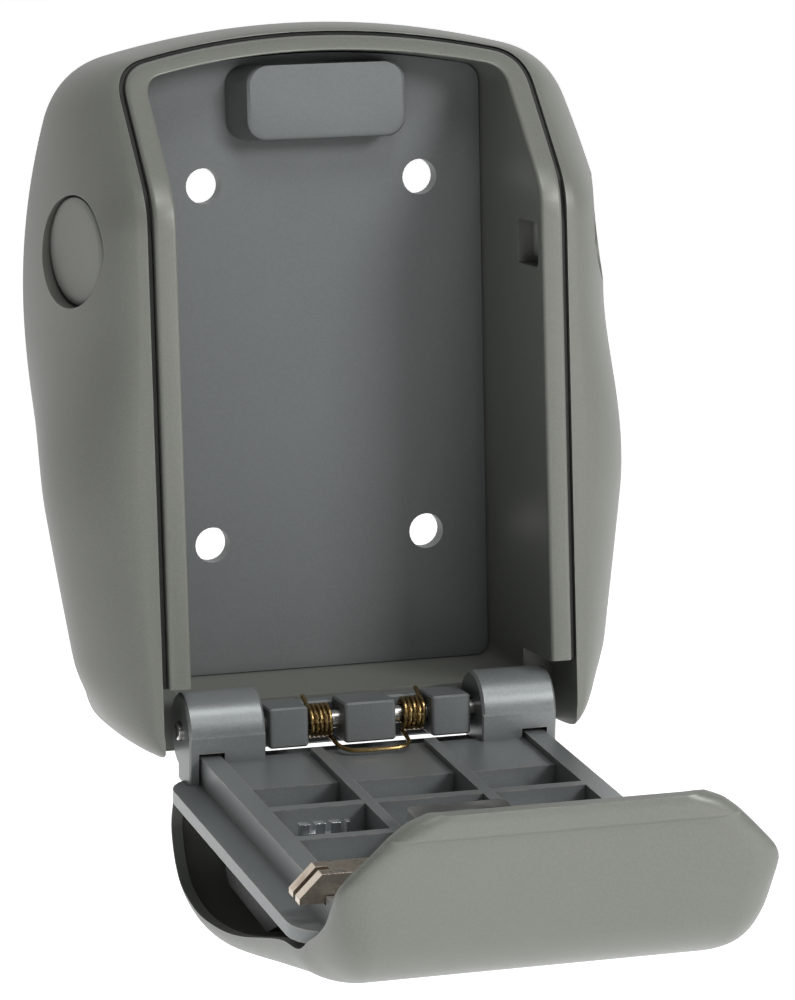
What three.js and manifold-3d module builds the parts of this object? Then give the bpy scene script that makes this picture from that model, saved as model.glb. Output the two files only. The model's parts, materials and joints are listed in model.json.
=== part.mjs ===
// Wall-mounted key lock box, millimetres. X right, Y into the wall, Z up.
// The wall plane is y = 0 and the door hangs open below the mouth.
import * as THREE from "three";
import { mergeVertices } from "three/addons/utils/BufferGeometryUtils.js";
import Module from "manifold-3d";

// ---------------------------------------------------------------- clearances
const TOUCH = 0.3; // between seated pieces
const RUN = 0.4; // between a shaft and its bore
const SWING = 0.8; // between the door and the case

// ---------------------------------------------------------------- case
const CASE_TOP = 74.8;
const CASE_BOTTOM = -67;
const CASE_HALF = 59.2; // widest half width, at the wall
const WIDEST_Z = 21;
const TAPER_UP = 0.004; // narrowing towards the top, per mm squared
const TAPER_DOWN = 0.1756; // slope of the sides towards the bottom
const TAPER_BEND = 25; // radius-like length over which the lower taper starts
const CROWN = 0.0031; // drop of the arched top per mm squared
const SHOULDER_R = 9;
const FOOT_R = 9;
const SKIN_R = 6; // corners of the outer skin at the rim
const SKIN_RISE = 3.7; // outer skin above the mouth
const BELLY = 4.5; // how far the lower flanks swell past the wall outline
const BELLY_FROM = 35; // only the sides swell, past this half width
const RIM_DEPTH = 39.8; // wall to rim at the middle of the mouth
const RIM_LEAN = 0.024; // the rim moves forward by this much per mm going down
const RIM_ROUND = 0.9; // how far the skin edge lies behind the rim
const SET_BACK_Z = CASE_TOP - 8.8;
const SET_BACK_DEPTH = 15.5; // rim depth at SET_BACK_Z
const KNEE_BLEND = 4;
const KNEE_Z = (SET_BACK_DEPTH + SET_BACK_Z - RIM_DEPTH) / (1 - RIM_LEAN); // where the rim bends back
const MOUTH_HALF = 36.8;
const MOUTH_TOP = CASE_TOP - 5.2;
const MOUTH_FLOOR = CASE_BOTTOM + 8.6;
const MOUTH_R_TOP = 3.5;
const MOUTH_R_LOW = 3;
const LIP = 4.6; // lip width on the rim
const GROOVE = 1.1; // seal groove between lip and outer skin
const GROOVE_DEPTH = 3;
const SEAL_TOP = 1.7; // seal face below the rim
const SEAL_FOOT = 2.6;
const BACK_HALF = MOUTH_HALF - 1.4; // the mouth narrows towards the wall
const BACK_TOP = MOUTH_TOP - 0.8;
const BACK_FLOOR = MOUTH_FLOOR + 2.2;

// ---------------------------------------------------------------- back plate
const PLATE_T = 4;
const HOLE_X = 22.6;
const HOLE_LOW_Z = -29.7;
const HOLE_R = 3.6;
const LUG_LEFT = 15;
const LUG_RIGHT = 18.3;
const LUG_FOOT = 17.6; // half width of the lug where it stands on the plate
const LUG_BOTTOM = MOUTH_TOP - 17.7;
const LUG_OUT = 6;
const LUG_R = 4;
const HOLE_TOP_Z = LUG_BOTTOM - 8.9;

// ---------------------------------------------------------------- side plugs
const PLUG_R = 10.7;
const PLUG_T = 3;
const PLUG_Z = CASE_TOP - 41.8;
const PLUG_X = CASE_HALF - 7.3;
const PLUG_Y = -21.6;
const PLUG_TURN = 0.28; // radians the plug faces forward
const PLUG_RECESS = 15; // cutter length outside the plug

// ---------------------------------------------------------------- hinge
const PIN_Y = -(RIM_DEPTH - 6.3);
const PIN_Z = MOUTH_FLOOR - 2.8;
const PIN_R = 1.8;
const OPEN_ANGLE = 96.2; // degrees from closed to the stop
const FLOOR_FRONT = -PIN_Y - 8.5; // depth of the case floor
const NOTCH_TOP = PIN_Z + 9.7; // the lip stops here to let the door flange pass
const BLOCK_FACE = PIN_Y - 4.5;
const BLOCK_TOP = PIN_Z + 3.8;
const BLOCK_H = 8;
const SIDE_BLOCK_IN = 12.7;
const SIDE_BLOCK_OUT = SIDE_BLOCK_IN + 8.1;
const MID_BLOCK_HALF = 5.3;
const CRADLE_R = Math.hypot(PIN_Y - BLOCK_FACE, BLOCK_H - BLOCK_TOP + PIN_Z) + 0.7; // clears the blocks
const KNUCKLE_IN = SIDE_BLOCK_OUT + 1.5;
const KNUCKLE_OUT = MOUTH_HALF + 0.9;
const KNUCKLE_R = 7.6;
const SPRING_R = PIN_R + 1.2;
const SPRING_WIRE = 0.5;
const SPRING_TURNS = 4;

// ---------------------------------------------------------------- door tray
// Drawn closed, with the pin as origin: u across, v towards the wall, w up.
const FLANGE_HALF = MOUTH_HALF + LIP + 0.1;
const FLANGE_GAP = 1.43; // tray plate to the rim
const FLANGE_V = -(RIM_DEPTH - RIM_LEAN * PIN_Z + PIN_Y) - FLANGE_GAP;
const FLANGE_T = 2.6;
const FLANGE_START = 2;
const FLANGE_END = KNEE_Z - PIN_Z - 1.325;
const FLANGE_R = 8;
const HOOD_END = MOUTH_TOP - PIN_Z - 10.6;
const HOOD_HALF = MOUTH_HALF + 0.8;
const HOOD_T = 2.2;
const HOOD_R = 9;
const RIB_H = 5.5;
const RIB_T = 2.3;
const RIB_X = 11.7;
const RAIL_OUT = MOUTH_HALF - 1.4;
const RAIL_IN = RAIL_OUT - 4.2;
const CROSS_RIBS = [44.6, 63.5];
const SHELF_START = -2.5; // the shelf runs under the hinge pin to here
const SHELF_END = 26.3;
const SHELF_DROP = 1.3; // shelf below the crest of the ribs

// ---------------------------------------------------------------- bolts and slide
const BOLT_W = FLANGE_END - 10.1;
const BOLT_H = 7;
const BOLT_T = 5.4;
const BOLT_LIFT = 4.2; // bolts above the tray skin
const BOLT_TIP = MOUTH_HALF + 3.4;
const BOLT_TRAVEL = 4.4;
const BOLT_BEVEL = 4.2; // length of the slanted face
const BOLT_EAR = 2.4;
const EAR_DROP = 5.4; // how far the spring ear reaches down from the bolt
const TAIL_T = 1.6;
const PEG_X = 7.4;
const PEG_W = BOLT_W - 2.1;
const PEG_R = 1.2;
const SLIDE_HALF = PEG_X + PEG_R + 1.1;
const SLIDE_START = 60;
const SLIDE_TRAVEL = 5;
const SLIDE_T = 2.2;
const STEM_HALF = 2.6;
const STEM_DEEP = 2; // half depth of the stem along the slide
const BOLT_NECK = SLIDE_HALF + BOLT_TRAVEL + 3 * RUN; // where a bolt steps up beside the slide
const BOLT_LOW = flangeAt(BOLT_W) + BOLT_LIFT;
const BOLT_HIGH = BOLT_LOW + BOLT_T;
const SLIDE_LOW = BOLT_LOW + TAIL_T + RUN;
const BOLT_COIL = 1.8; // radius of a bolt spring
const BOLT_COIL_TURNS = 6;
const RESET_W = 56.6; // code change lever between the second and third cross ribs
const RESET_LEFT = -29.6;
const RESET_RIGHT = -19.2;
const RESET_TRAVEL = 4;
const RESET_HALF = 2.8;

// ---------------------------------------------------------------- dial housing
const SHUTTER_HALF = FLANGE_HALF - 0.7;
const HOUSING_HALF = SHUTTER_HALF - 7.8;
const HOUSING_START = 13;
const HOUSING_END = FLANGE_END - 14.6;
const DIAL_R = 8;
const DIAL_T = 6.2;
const DIAL_PITCH = DIAL_T + 4.4;
const DIAL_V = FLANGE_V - DIAL_R - 2.4;
const HOUSING_FACE = DIAL_V - DIAL_R + 2.2; // the dials stand out of the face
const DIAL_W = 36;
const DIAL_COUNT = 4;
const DIAL_TEETH = 10;
const TOOTH_GAP_R = 0.95;
const SPINDLE_R = 1.9;
const SPINDLE_HALF = HOUSING_HALF - 3;
const LEVER_W = 67;
const LEVER_HALF = 7.5;
const LEVER_H = 12;
const LEVER_V = HOUSING_FACE + 7.2; // floor of the recess the lever slides on
const LEVER_T = 3;
const SCREW_X = 22;
const SCREW_W = HOUSING_END - 11;
const SCREW_R = 1.5;
const SCREW_HEAD_R = 2.8;
const SCREW_HEAD_T = 1.8;
const SCREW_END = FLANGE_V - 4.8;

// ---------------------------------------------------------------- weather cover
const SHUTTER_T = 2.2;
const SHUTTER_END = HOOD_END + 5.4;
const DRAWN_END = 125.6; // the stations are drawn for this length, housing face and pin depth
const DRAWN_FACE = -25.4;
const DRAWN_PIN = 33.5;
const BOWL_END = 27; // the cover grows longer between these stations
const SLOPE_START = 101;
const SHUTTER_PIN_W = 3;
const SHUTTER_PIN_V = HOUSING_FACE + 9.4;
const SHUTTER_PIN_R = 1.3;
const HANGER_IN = 24;
const HANGER_OUT = HANGER_IN + 5.6;
const HANGER_R = SHUTTER_PIN_R + 1.6;
const EAR_OUT = HANGER_OUT + 4.4;
const SHUTTER_PIN_HALF = EAR_OUT + 1.2;

// ---------------------------------------------------------------- solids
const wasm = await Module();
wasm.setup();

function solid(geometry) {
  const bare = new THREE.BufferGeometry();
  bare.setAttribute("position", geometry.getAttribute("position"));
  if (geometry.index) {
    bare.setIndex(geometry.index);
  }
  const merged = mergeVertices(bare, 1e-4);
  const mesh = new wasm.Mesh({
    numProp: 3,
    vertProperties: new Float32Array(merged.getAttribute("position").array),
    triVerts: new Uint32Array(merged.index.array),
  });
  return new wasm.Manifold(mesh);
}

function geometryOf(body) {
  const mesh = body.getMesh();
  const geometry = new THREE.BufferGeometry();
  const flat = new Float32Array(mesh.numVert * 3);
  for (let i = 0; i < mesh.numVert; i += 1) {
    for (let k = 0; k < 3; k += 1) {
      flat[3 * i + k] = mesh.vertProperties[mesh.numProp * i + k];
    }
  }
  geometry.setAttribute("position", new THREE.BufferAttribute(flat, 3));
  geometry.setIndex(new THREE.BufferAttribute(new Uint32Array(mesh.triVerts), 1));
  return geometry;
}

function join(...bodies) {
  return bodies.reduce((sum, body) => sum.add(body));
}

function cut(body, ...tools) {
  return tools.reduce((rest, tool) => rest.subtract(tool), body);
}

// ---------------------------------------------------------------- drawing helpers
function box(x0, x1, y0, y1, z0, z1) {
  const geometry = new THREE.BoxGeometry(x1 - x0, y1 - y0, z1 - z0);
  geometry.translate((x0 + x1) / 2, (y0 + y1) / 2, (z0 + z1) / 2);
  return solid(geometry);
}

function roundedOutline(w, h, r) {
  const shape = new THREE.Shape();
  shape.moveTo(-w / 2 + r, -h / 2);
  shape.lineTo(w / 2 - r, -h / 2);
  shape.absarc(w / 2 - r, -h / 2 + r, r, -Math.PI / 2, 0);
  shape.lineTo(w / 2, h / 2 - r);
  shape.absarc(w / 2 - r, h / 2 - r, r, 0, Math.PI / 2);
  shape.lineTo(-w / 2 + r, h / 2);
  shape.absarc(-w / 2 + r, h / 2 - r, r, Math.PI / 2, Math.PI);
  shape.lineTo(-w / 2, -h / 2 + r);
  shape.absarc(-w / 2 + r, -h / 2 + r, r, Math.PI, 1.5 * Math.PI);
  return shape;
}

// a soft-edged block between two corners, its outline rounded about the axis named
function block(x0, x1, y0, y1, z0, z1, r, axis, edge = 0.4) {
  const size = { x: x1 - x0, y: y1 - y0, z: z1 - z0 };
  const spans = { x: ["z", "y"], y: ["x", "z"], z: ["x", "y"] }[axis];
  const shape = roundedOutline(size[spans[0]] - 2 * edge, size[spans[1]] - 2 * edge, r);
  const geometry = new THREE.ExtrudeGeometry(shape, {
    depth: size[axis] - 2 * edge,
    bevelEnabled: true,
    bevelThickness: edge,
    bevelSize: edge,
    bevelSegments: 1,
    curveSegments: 3,
  });
  geometry.translate(0, 0, -size[axis] / 2 + edge);
  if (axis === "x") {
    geometry.rotateY(Math.PI / 2);
  }
  if (axis === "y") {
    geometry.rotateX(Math.PI / 2);
  }
  geometry.translate((x0 + x1) / 2, (y0 + y1) / 2, (z0 + z1) / 2);
  return solid(geometry);
}

// an outline drawn as [v, w] pairs in the side view, swept along x
function sideProfile(points, x0, x1) {
  const shape = new THREE.Shape(points.map(([v, w]) => new THREE.Vector2(v, w)));
  const geometry = new THREE.ExtrudeGeometry(shape, { depth: x1 - x0, bevelEnabled: false });
  // shape x -> y, shape y -> z, extrusion -> x
  geometry.applyMatrix4(new THREE.Matrix4().set(0, 0, 1, x0, 1, 0, 0, 0, 0, 1, 0, 0, 0, 0, 0, 1));
  return solid(geometry);
}

function rod(radius, x0, x1, y, z, sides = 24, soft = 0.3) {
  const half = (x1 - x0) / 2;
  const profile = [
    new THREE.Vector2(0, -half),
    new THREE.Vector2(radius - soft, -half),
    new THREE.Vector2(radius, -half + soft),
    new THREE.Vector2(radius, half - soft),
    new THREE.Vector2(radius - soft, half),
    new THREE.Vector2(0, half),
  ];
  const geometry = new THREE.LatheGeometry(profile, sides);
  geometry.rotateZ(-Math.PI / 2);
  geometry.translate((x0 + x1) / 2, y, z);
  return solid(geometry);
}

function disc(radius, thickness, soft, sides = 40) {
  const profile = [
    new THREE.Vector2(0, -thickness / 2),
    new THREE.Vector2(radius, -thickness / 2),
    new THREE.Vector2(radius, thickness / 2 - soft),
    new THREE.Vector2(radius - soft, thickness / 2),
    new THREE.Vector2(0, thickness / 2),
  ];
  return new THREE.LatheGeometry(profile, sides);
}

// rings of equal length joined side by side; either closed on itself or capped
function loft(rings, closed, capPairs) {
  const n = rings[0].length;
  const m = rings.length;
  const index = [];
  for (let j = 0; j < (closed ? m : m - 1); j += 1) {
    const a = j * n;
    const b = ((j + 1) % m) * n;
    for (let i = 0; i < n; i += 1) {
      const k = (i + 1) % n;
      index.push(a + i, a + k, b + k, a + i, b + k, b + i);
    }
  }
  if (!closed) {
    for (const [p, q, r, s] of capPairs) {
      index.push(p, r, q, p, s, r);
      const e = (m - 1) * n;
      index.push(e + p, e + q, e + r, e + p, e + r, e + s);
    }
  }
  const geometry = new THREE.BufferGeometry();
  geometry.setAttribute("position", new THREE.Float32BufferAttribute(rings.flat(2), 3));
  geometry.setIndex(facingOut(rings.flat(), index));
  return solid(geometry);
}

function facingOut(points, index) {
  let volume = 0;
  for (let i = 0; i < index.length; i += 3) {
    const [a, b, c] = [points[index[i]], points[index[i + 1]], points[index[i + 2]]];
    volume += a[0] * (b[1] * c[2] - b[2] * c[1]);
    volume -= a[1] * (b[0] * c[2] - b[2] * c[0]);
    volume += a[2] * (b[0] * c[1] - b[1] * c[0]);
  }
  if (volume >= 0) {
    return index;
  }
  const flipped = [];
  for (let i = 0; i < index.length; i += 3) {
    flipped.push(index[i], index[i + 2], index[i + 1]);
  }
  return flipped;
}

function smooth(edge0, edge1, x) {
  const t = Math.min(1, Math.max(0, (x - edge0) / (edge1 - edge0)));
  return t * t * (3 - 2 * t);
}

function mix(a, b, t) {
  return a + (b - a) * t;
}

function wire(points, radius, steps, sides) {
  const curve = new THREE.CatmullRomCurve3(points.map((p) => new THREE.Vector3(...p)));
  const corners = [];
  for (let i = 0; i < sides; i += 1) {
    const angle = (2 * Math.PI * i) / sides;
    corners.push(new THREE.Vector2(radius * Math.cos(angle), radius * Math.sin(angle)));
  }
  const geometry = new THREE.ExtrudeGeometry(new THREE.Shape(corners), {
    steps,
    extrudePath: curve,
    bevelEnabled: false,
  });
  return solid(geometry);
}

// ---------------------------------------------------------------- materials
function paint(color, roughness, metalness) {
  return new THREE.MeshStandardMaterial({ color, roughness, metalness });
}

function piece(name, body, material) {
  const mesh = new THREE.Mesh(geometryOf(body), material);
  mesh.name = name;
  return mesh;
}

const CASE_PAINT = [0x83867e, 0.48, 0.35];
const DOOR_CAST = [0x8b9092, 0.42, 0.6];
const STEEL = [0xb9b7ae, 0.28, 0.95];
const BLACK = [0x24261f, 0.7, 0];

// ---------------------------------------------------------------- case outline
function wallHalf(z) {
  if (z > WIDEST_Z) {
    return CASE_HALF - TAPER_UP * (z - WIDEST_Z) ** 2;
  }
  return CASE_HALF - TAPER_DOWN * (Math.hypot(z - WIDEST_Z, TAPER_BEND) - TAPER_BEND);
}

// half outline from the middle of the bottom, up the right side, to the middle of the top
function halfRing({ half, top, bottom, rTop, rBottom }) {
  let corner = top;
  for (let i = 0; i < 6; i += 1) {
    corner = top - CROWN * half(corner) ** 2;
  }
  const crownAt = (x) => top - CROWN * x * x;
  const points = [];
  const xb = half(bottom) - rBottom;
  for (let i = 0; i < 3; i += 1) {
    points.push([mix(0, xb, i / 3), bottom]);
  }
  const bezier = (p, c, q, n) => {
    for (let i = 0; i < n; i += 1) {
      const t = i / n;
      const w = [(1 - t) ** 2, 2 * t * (1 - t), t * t];
      points.push([0, 1].map((k) => w[0] * p[k] + w[1] * c[k] + w[2] * q[k]));
    }
  };
  const zb = bottom + rBottom;
  const zt = corner - rTop;
  bezier([xb, bottom], [half(bottom), bottom], [half(zb), zb], 5);
  for (let i = 0; i < 14; i += 1) {
    const z = mix(zb, zt, i / 14);
    points.push([half(z), z]);
  }
  const xt = half(corner) - rTop;
  bezier([half(zt), zt], [half(corner), corner], [xt, crownAt(xt)], 6);
  for (let i = 0; i <= 5; i += 1) {
    const x = mix(xt, 0, i / 5);
    points.push([x, crownAt(x)]);
  }
  return points;
}

function fullRing(spec) {
  const right = halfRing(spec);
  const left = right.slice(1, -1).reverse().map(([x, z]) => [-x, z]);
  return [...right, ...left];
}

const WALL_RING = fullRing({
  half: wallHalf, top: CASE_TOP, bottom: CASE_BOTTOM, rTop: SHOULDER_R, rBottom: FOOT_R,
});
const SKIN_RING = fullRing({
  half: () => MOUTH_HALF + LIP + GROOVE,
  top: MOUTH_TOP + SKIN_RISE,
  bottom: CASE_BOTTOM + 1,
  rTop: SKIN_R,
  rBottom: SKIN_R,
});
const MOUTH_RING = fullRing({
  half: () => MOUTH_HALF, top: MOUTH_TOP, bottom: MOUTH_FLOOR, rTop: MOUTH_R_TOP, rBottom: MOUTH_R_LOW,
});
const BACK_RING = fullRing({
  half: () => BACK_HALF, top: BACK_TOP, bottom: BACK_FLOOR, rTop: MOUTH_R_TOP, rBottom: MOUTH_R_LOW,
});

// depth of the rim below the wall plane: nearly straight, then set back towards the top
function rimDepth(z) {
  const straight = RIM_DEPTH - RIM_LEAN * z;
  const sloped = SET_BACK_DEPTH + (SET_BACK_Z - z);
  const h = Math.min(1, Math.max(0, 0.5 + (sloped - straight) / (2 * KNEE_BLEND)));
  return mix(sloped, straight, h) - KNEE_BLEND * h * (1 - h);
}

// how full the flank is at fraction t of the way from the wall to the rim
function flank(t, z) {
  const power = mix(2.5, 1.8, smooth(-20, 20, z));
  return (1 - t ** power) ** (1 / power);
}

function swell(t, z) {
  return BELLY * smooth(20, -20, z) * smooth(CASE_BOTTOM, CASE_BOTTOM + 18, z) * Math.sin(Math.PI * t);
}

function outerRing(t) {
  return WALL_RING.map(([wx, wz], i) => {
    const [sx, sz] = SKIN_RING[i];
    const g = flank(t, wz);
    const x = mix(sx, wx, g) + Math.sign(wx) * swell(t, wz) * (Math.abs(wx) > BELLY_FROM ? 1 : 0);
    const z = mix(sz, wz, g);
    return [x, -t * (rimDepth(sz) - RIM_ROUND), z];
  });
}

// a ring a fraction of the way across the lip, at a drop below the rim
function lipRing(fraction, drop) {
  return SKIN_RING.map(([sx, sz], i) => {
    const [mx, mz] = MOUTH_RING[i];
    const z = mix(sz, mz, fraction);
    return [mix(sx, mx, fraction), -(rimDepth(z) - drop), z];
  });
}

function innerRing(depthShare) {
  return BACK_RING.map(([bx, bz], i) => {
    const [mx, mz] = MOUTH_RING[i];
    const depth = depthShare * (rimDepth(mz) - RIM_ROUND);
    return [mix(bx, mx, depthShare), -depth, mix(bz, mz, depthShare)];
  });
}

const GROOVE_SHARE = GROOVE / (LIP + GROOVE);

function hingeNotch() {
  const reach = FLANGE_HALF + SWING;
  return box(-reach, reach, -RIM_DEPTH - 30, -FLOOR_FRONT, CASE_BOTTOM - 10, NOTCH_TOP);
}

function plugPlace(side) {
  const turn = new THREE.Matrix4().makeRotationZ(-side * (Math.PI / 2 + PLUG_TURN));
  return turn.setPosition(side * PLUG_X, PLUG_Y, PLUG_Z);
}

function plugRecess(side) {
  const geometry = new THREE.CylinderGeometry(PLUG_R + TOUCH, PLUG_R + TOUCH, PLUG_RECESS + PLUG_T, 40);
  geometry.translate(0, PLUG_RECESS / 2 - TOUCH, 0);
  geometry.applyMatrix4(plugPlace(side));
  return solid(geometry);
}

function boltPocket(side) {
  const z = PIN_Z + BOLT_W;
  const reach = BOLT_H / 2 + 1;
  const x0 = MOUTH_HALF - 3;
  const x1 = BOLT_TIP + 0.8;
  const [a, b] = side > 0 ? [x0, x1] : [-x1, -x0];
  return block(a, b, PIN_Y + BOLT_LOW - 0.6, PIN_Y + BOLT_HIGH + 5.8, z - reach, z + reach, 1.6, "x", 0.2);
}

function caseShell() {
  const rings = [];
  for (const t of [0, 0.14, 0.3, 0.45, 0.6, 0.73, 0.84, 0.92, 0.97, 0.99]) {
    rings.push(outerRing(t));
  }
  rings.push(lipRing(0, 1.0));
  rings.push(lipRing(0.03, GROOVE_DEPTH));
  rings.push(lipRing(GROOVE_SHARE, GROOVE_DEPTH));
  rings.push(lipRing(GROOVE_SHARE + 0.03, 0.9));
  rings.push(lipRing(GROOVE_SHARE + 0.12, 0.2));
  rings.push(lipRing(0.5, 0));
  rings.push(lipRing(0.88, 0.15));
  rings.push(lipRing(0.97, 0.6));
  rings.push(innerRing(0.97));
  rings.push(innerRing(0.5));
  rings.push(innerRing(PLATE_T / RIM_DEPTH + 0.01));
  rings.push(innerRing(0));
  const shell = loft(rings, true);
  const tools = [hingeNotch()];
  for (const side of [-1, 1]) {
    tools.push(plugRecess(side), boltPocket(side));
  }
  return cut(shell, ...tools);
}

function rimSeal() {
  const rings = [
    lipRing(0.05, SEAL_FOOT),
    lipRing(0.05, SEAL_TOP),
    lipRing(GROOVE_SHARE - 0.03, SEAL_TOP),
    lipRing(GROOVE_SHARE - 0.03, SEAL_FOOT),
  ];
  return cut(loft(rings, true), hingeNotch());
}

// ---------------------------------------------------------------- back plate pieces
function mountingPlate() {
  const gap = TOUCH + 0.05;
  const outline = fullRing({
    half: () => BACK_HALF - gap,
    top: BACK_TOP - gap,
    bottom: BACK_FLOOR + gap,
    rTop: MOUTH_R_TOP,
    rBottom: MOUTH_R_LOW,
  });
  const shape = new THREE.Shape(outline.map(([x, z]) => new THREE.Vector2(x, z)));
  for (const x of [-HOLE_X, HOLE_X]) {
    for (const z of [HOLE_LOW_Z, HOLE_TOP_Z]) {
      const hole = new THREE.Path();
      hole.absarc(x, z, HOLE_R, 0, 2 * Math.PI, true);
      shape.holes.push(hole);
    }
  }
  const plate = { depth: PLATE_T, bevelEnabled: false, curveSegments: 12 };
  const geometry = new THREE.ExtrudeGeometry(shape, plate);
  geometry.rotateX(Math.PI / 2);
  return solid(geometry);
}

function strikeBlock() {
  const y0 = -PLATE_T - TOUCH;
  const top = BACK_TOP - CROWN * LUG_RIGHT ** 2 - 0.8;
  const ring = (left, right, grow, y) => {
    const shape = roundedOutline(left + right + 2 * grow, top - LUG_BOTTOM + grow, LUG_R);
    const x = (right - left) / 2;
    const z = (top + LUG_BOTTOM - grow) / 2;
    return shape.getPoints(5).slice(0, -1).map((p) => [p.x + x, y, p.y + z]);
  };
  return fan([
    ring(LUG_FOOT, LUG_FOOT + 0.4, 0, y0),
    ring(LUG_LEFT, LUG_RIGHT, 0, y0 - LUG_OUT + 1.1),
    ring(LUG_LEFT, LUG_RIGHT, -0.3, y0 - LUG_OUT + 0.4),
    ring(LUG_LEFT, LUG_RIGHT, -0.9, y0 - LUG_OUT),
  ]);
}

// a loft whose two ends are flat and closed by a fan about the middle of each end ring
function fan(rings) {
  const n = rings[0].length;
  const points = rings.flat();
  const index = [];
  for (let j = 0; j < rings.length - 1; j += 1) {
    for (let i = 0; i < n; i += 1) {
      const k = (i + 1) % n;
      const a = j * n;
      const b = a + n;
      index.push(a + i, a + k, b + k, a + i, b + k, b + i);
    }
  }
  for (const [start, flip] of [[0, true], [(rings.length - 1) * n, false]]) {
    const ring = points.slice(start, start + n);
    const middle = [0, 1, 2].map((k) => ring.reduce((s, p) => s + p[k], 0) / n);
    points.push(middle);
    const m = points.length - 1;
    for (let i = 0; i < n; i += 1) {
      const k = (i + 1) % n;
      index.push(...(flip ? [m, start + k, start + i] : [m, start + i, start + k]));
    }
  }
  const geometry = new THREE.BufferGeometry();
  geometry.setAttribute("position", new THREE.Float32BufferAttribute(points.flat(), 3));
  geometry.setIndex(facingOut(points, index));
  return solid(geometry);
}

function sidePlug(side) {
  const geometry = disc(PLUG_R, PLUG_T, 0.5);
  geometry.applyMatrix4(plugPlace(side));
  return solid(geometry);
}

// ---------------------------------------------------------------- hinge pieces
function hingeBracket() {
  const back = -FLOOR_FRONT - TOUCH;
  const web = PIN_Y + SPRING_R + 1.2;
  const low = BLOCK_TOP - BLOCK_H;
  const base = block(-SIDE_BLOCK_OUT, SIDE_BLOCK_OUT, web, back, low - 1.4, BLOCK_TOP - 0.8, 0.5, "y");
  const knob = (a, b) => block(a, b, BLOCK_FACE, web + 1, low, BLOCK_TOP, 0.5, "z", 0.35);
  const bore = rod(PIN_R + RUN / 2, -60, 60, PIN_Y, PIN_Z);
  return cut(
    join(
      base,
      knob(-SIDE_BLOCK_OUT, -SIDE_BLOCK_IN),
      knob(-MID_BLOCK_HALF, MID_BLOCK_HALF),
      knob(SIDE_BLOCK_IN, SIDE_BLOCK_OUT),
    ),
    bore,
  );
}

function hingePin() {
  const half = KNUCKLE_OUT + 0.9;
  return rod(PIN_R, -half, half, PIN_Y, PIN_Z);
}

// two coils on the pin, joined by a loop that presses on the shelf of the door
function torsionSpring() {
  const outer = SIDE_BLOCK_IN - SPRING_WIRE - 0.5;
  const inner = MID_BLOCK_HALF + 2.2;
  const sweep = 2 * Math.PI * SPRING_TURNS + Math.PI;
  const steps = SPRING_TURNS * 10;
  const half = [[-outer, PIN_Y + 3.4, PIN_Z + SPRING_R + 1.4]];
  for (let i = 0; i <= steps; i += 1) {
    const t = i / steps;
    const angle = Math.PI / 2 + t * sweep;
    half.push([
      -mix(outer, inner, t),
      PIN_Y + SPRING_R * Math.cos(angle),
      PIN_Z + SPRING_R * Math.sin(angle),
    ]);
  }
  half.push([-inner + 0.2, PIN_Y - 5.2, PIN_Z - SPRING_R - 0.9]);
  half.push([-inner + 1, PIN_Y - 8.2, PIN_Z - SPRING_R - 1.4]);
  half.push([-inner + 3.4, PIN_Y - 9.6, PIN_Z - SPRING_R - 1.7]);
  const other = half.slice().reverse().map(([x, y, z]) => [-x, y, z]);
  return wire([...half, ...other], SPRING_WIRE, 170, 5);
}

// ---------------------------------------------------------------- door pieces (closed frame)
function flangeAt(w) {
  return FLANGE_V + RIM_LEAN * w;
}

// the sloping part of the door that follows the set-back rim
function hoodAt(w) {
  return PIN_Z + w - SET_BACK_Z - SET_BACK_DEPTH - PIN_Y - SWING - 0.4;
}

function knuckle(side) {
  const [a, b] = side > 0 ? [KNUCKLE_IN, KNUCKLE_OUT] : [-KNUCKLE_OUT, -KNUCKLE_IN];
  const barrel = rod(KNUCKLE_R, a, b, 0, 0, 40, 0.5);
  const leg = block(a, b, FLANGE_V - 1, 1, -1.5, KNUCKLE_R, 0.4, "x", 0.3);
  return cut(join(barrel, leg), railEnd(side));
}

// square notch in a knuckle that the end of a side rail sits in
function railEnd(side) {
  const outer = RAIL_OUT + RUN;
  const inner = RAIL_IN - 0.6;
  const [a, b] = side > 0 ? [inner, outer] : [-outer, -inner];
  return box(a, b, FLANGE_V - 2, FLANGE_V + RIB_H + 1, KNUCKLE_R - 2.4, KNUCKLE_R + 1);
}

// the flat part of the tray: a plate whose far corners are rounded
function traySkin() {
  const plate = sideProfile([
    [flangeAt(FLANGE_START), FLANGE_START],
    [flangeAt(FLANGE_END), FLANGE_END],
    [flangeAt(FLANGE_END) - FLANGE_T, FLANGE_END],
    [flangeAt(FLANGE_START) - FLANGE_T, FLANGE_START],
  ], -FLANGE_HALF, FLANGE_HALF);
  const end = FLANGE_END - 2.4;
  return plate.intersect(block(-FLANGE_HALF, FLANGE_HALF, -40, 0, FLANGE_START, end, FLANGE_R, "y", 0.1));
}

function hood() {
  const start = FLANGE_END - 6;
  const bend = FLANGE_END + 1.6;
  const side = sideProfile([
    [flangeAt(start), start],
    [flangeAt(FLANGE_END), FLANGE_END],
    [hoodAt(bend), bend],
    [hoodAt(HOOD_END), HOOD_END],
    [hoodAt(HOOD_END) - HOOD_T, HOOD_END],
    [flangeAt(FLANGE_END) - FLANGE_T, FLANGE_END + 0.8],
    [flangeAt(start) - FLANGE_T, start],
  ], -HOOD_HALF, HOOD_HALF);
  return side.intersect(block(-HOOD_HALF, HOOD_HALF, -40, 40, 0, HOOD_END, HOOD_R, "y", 0.1));
}

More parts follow.
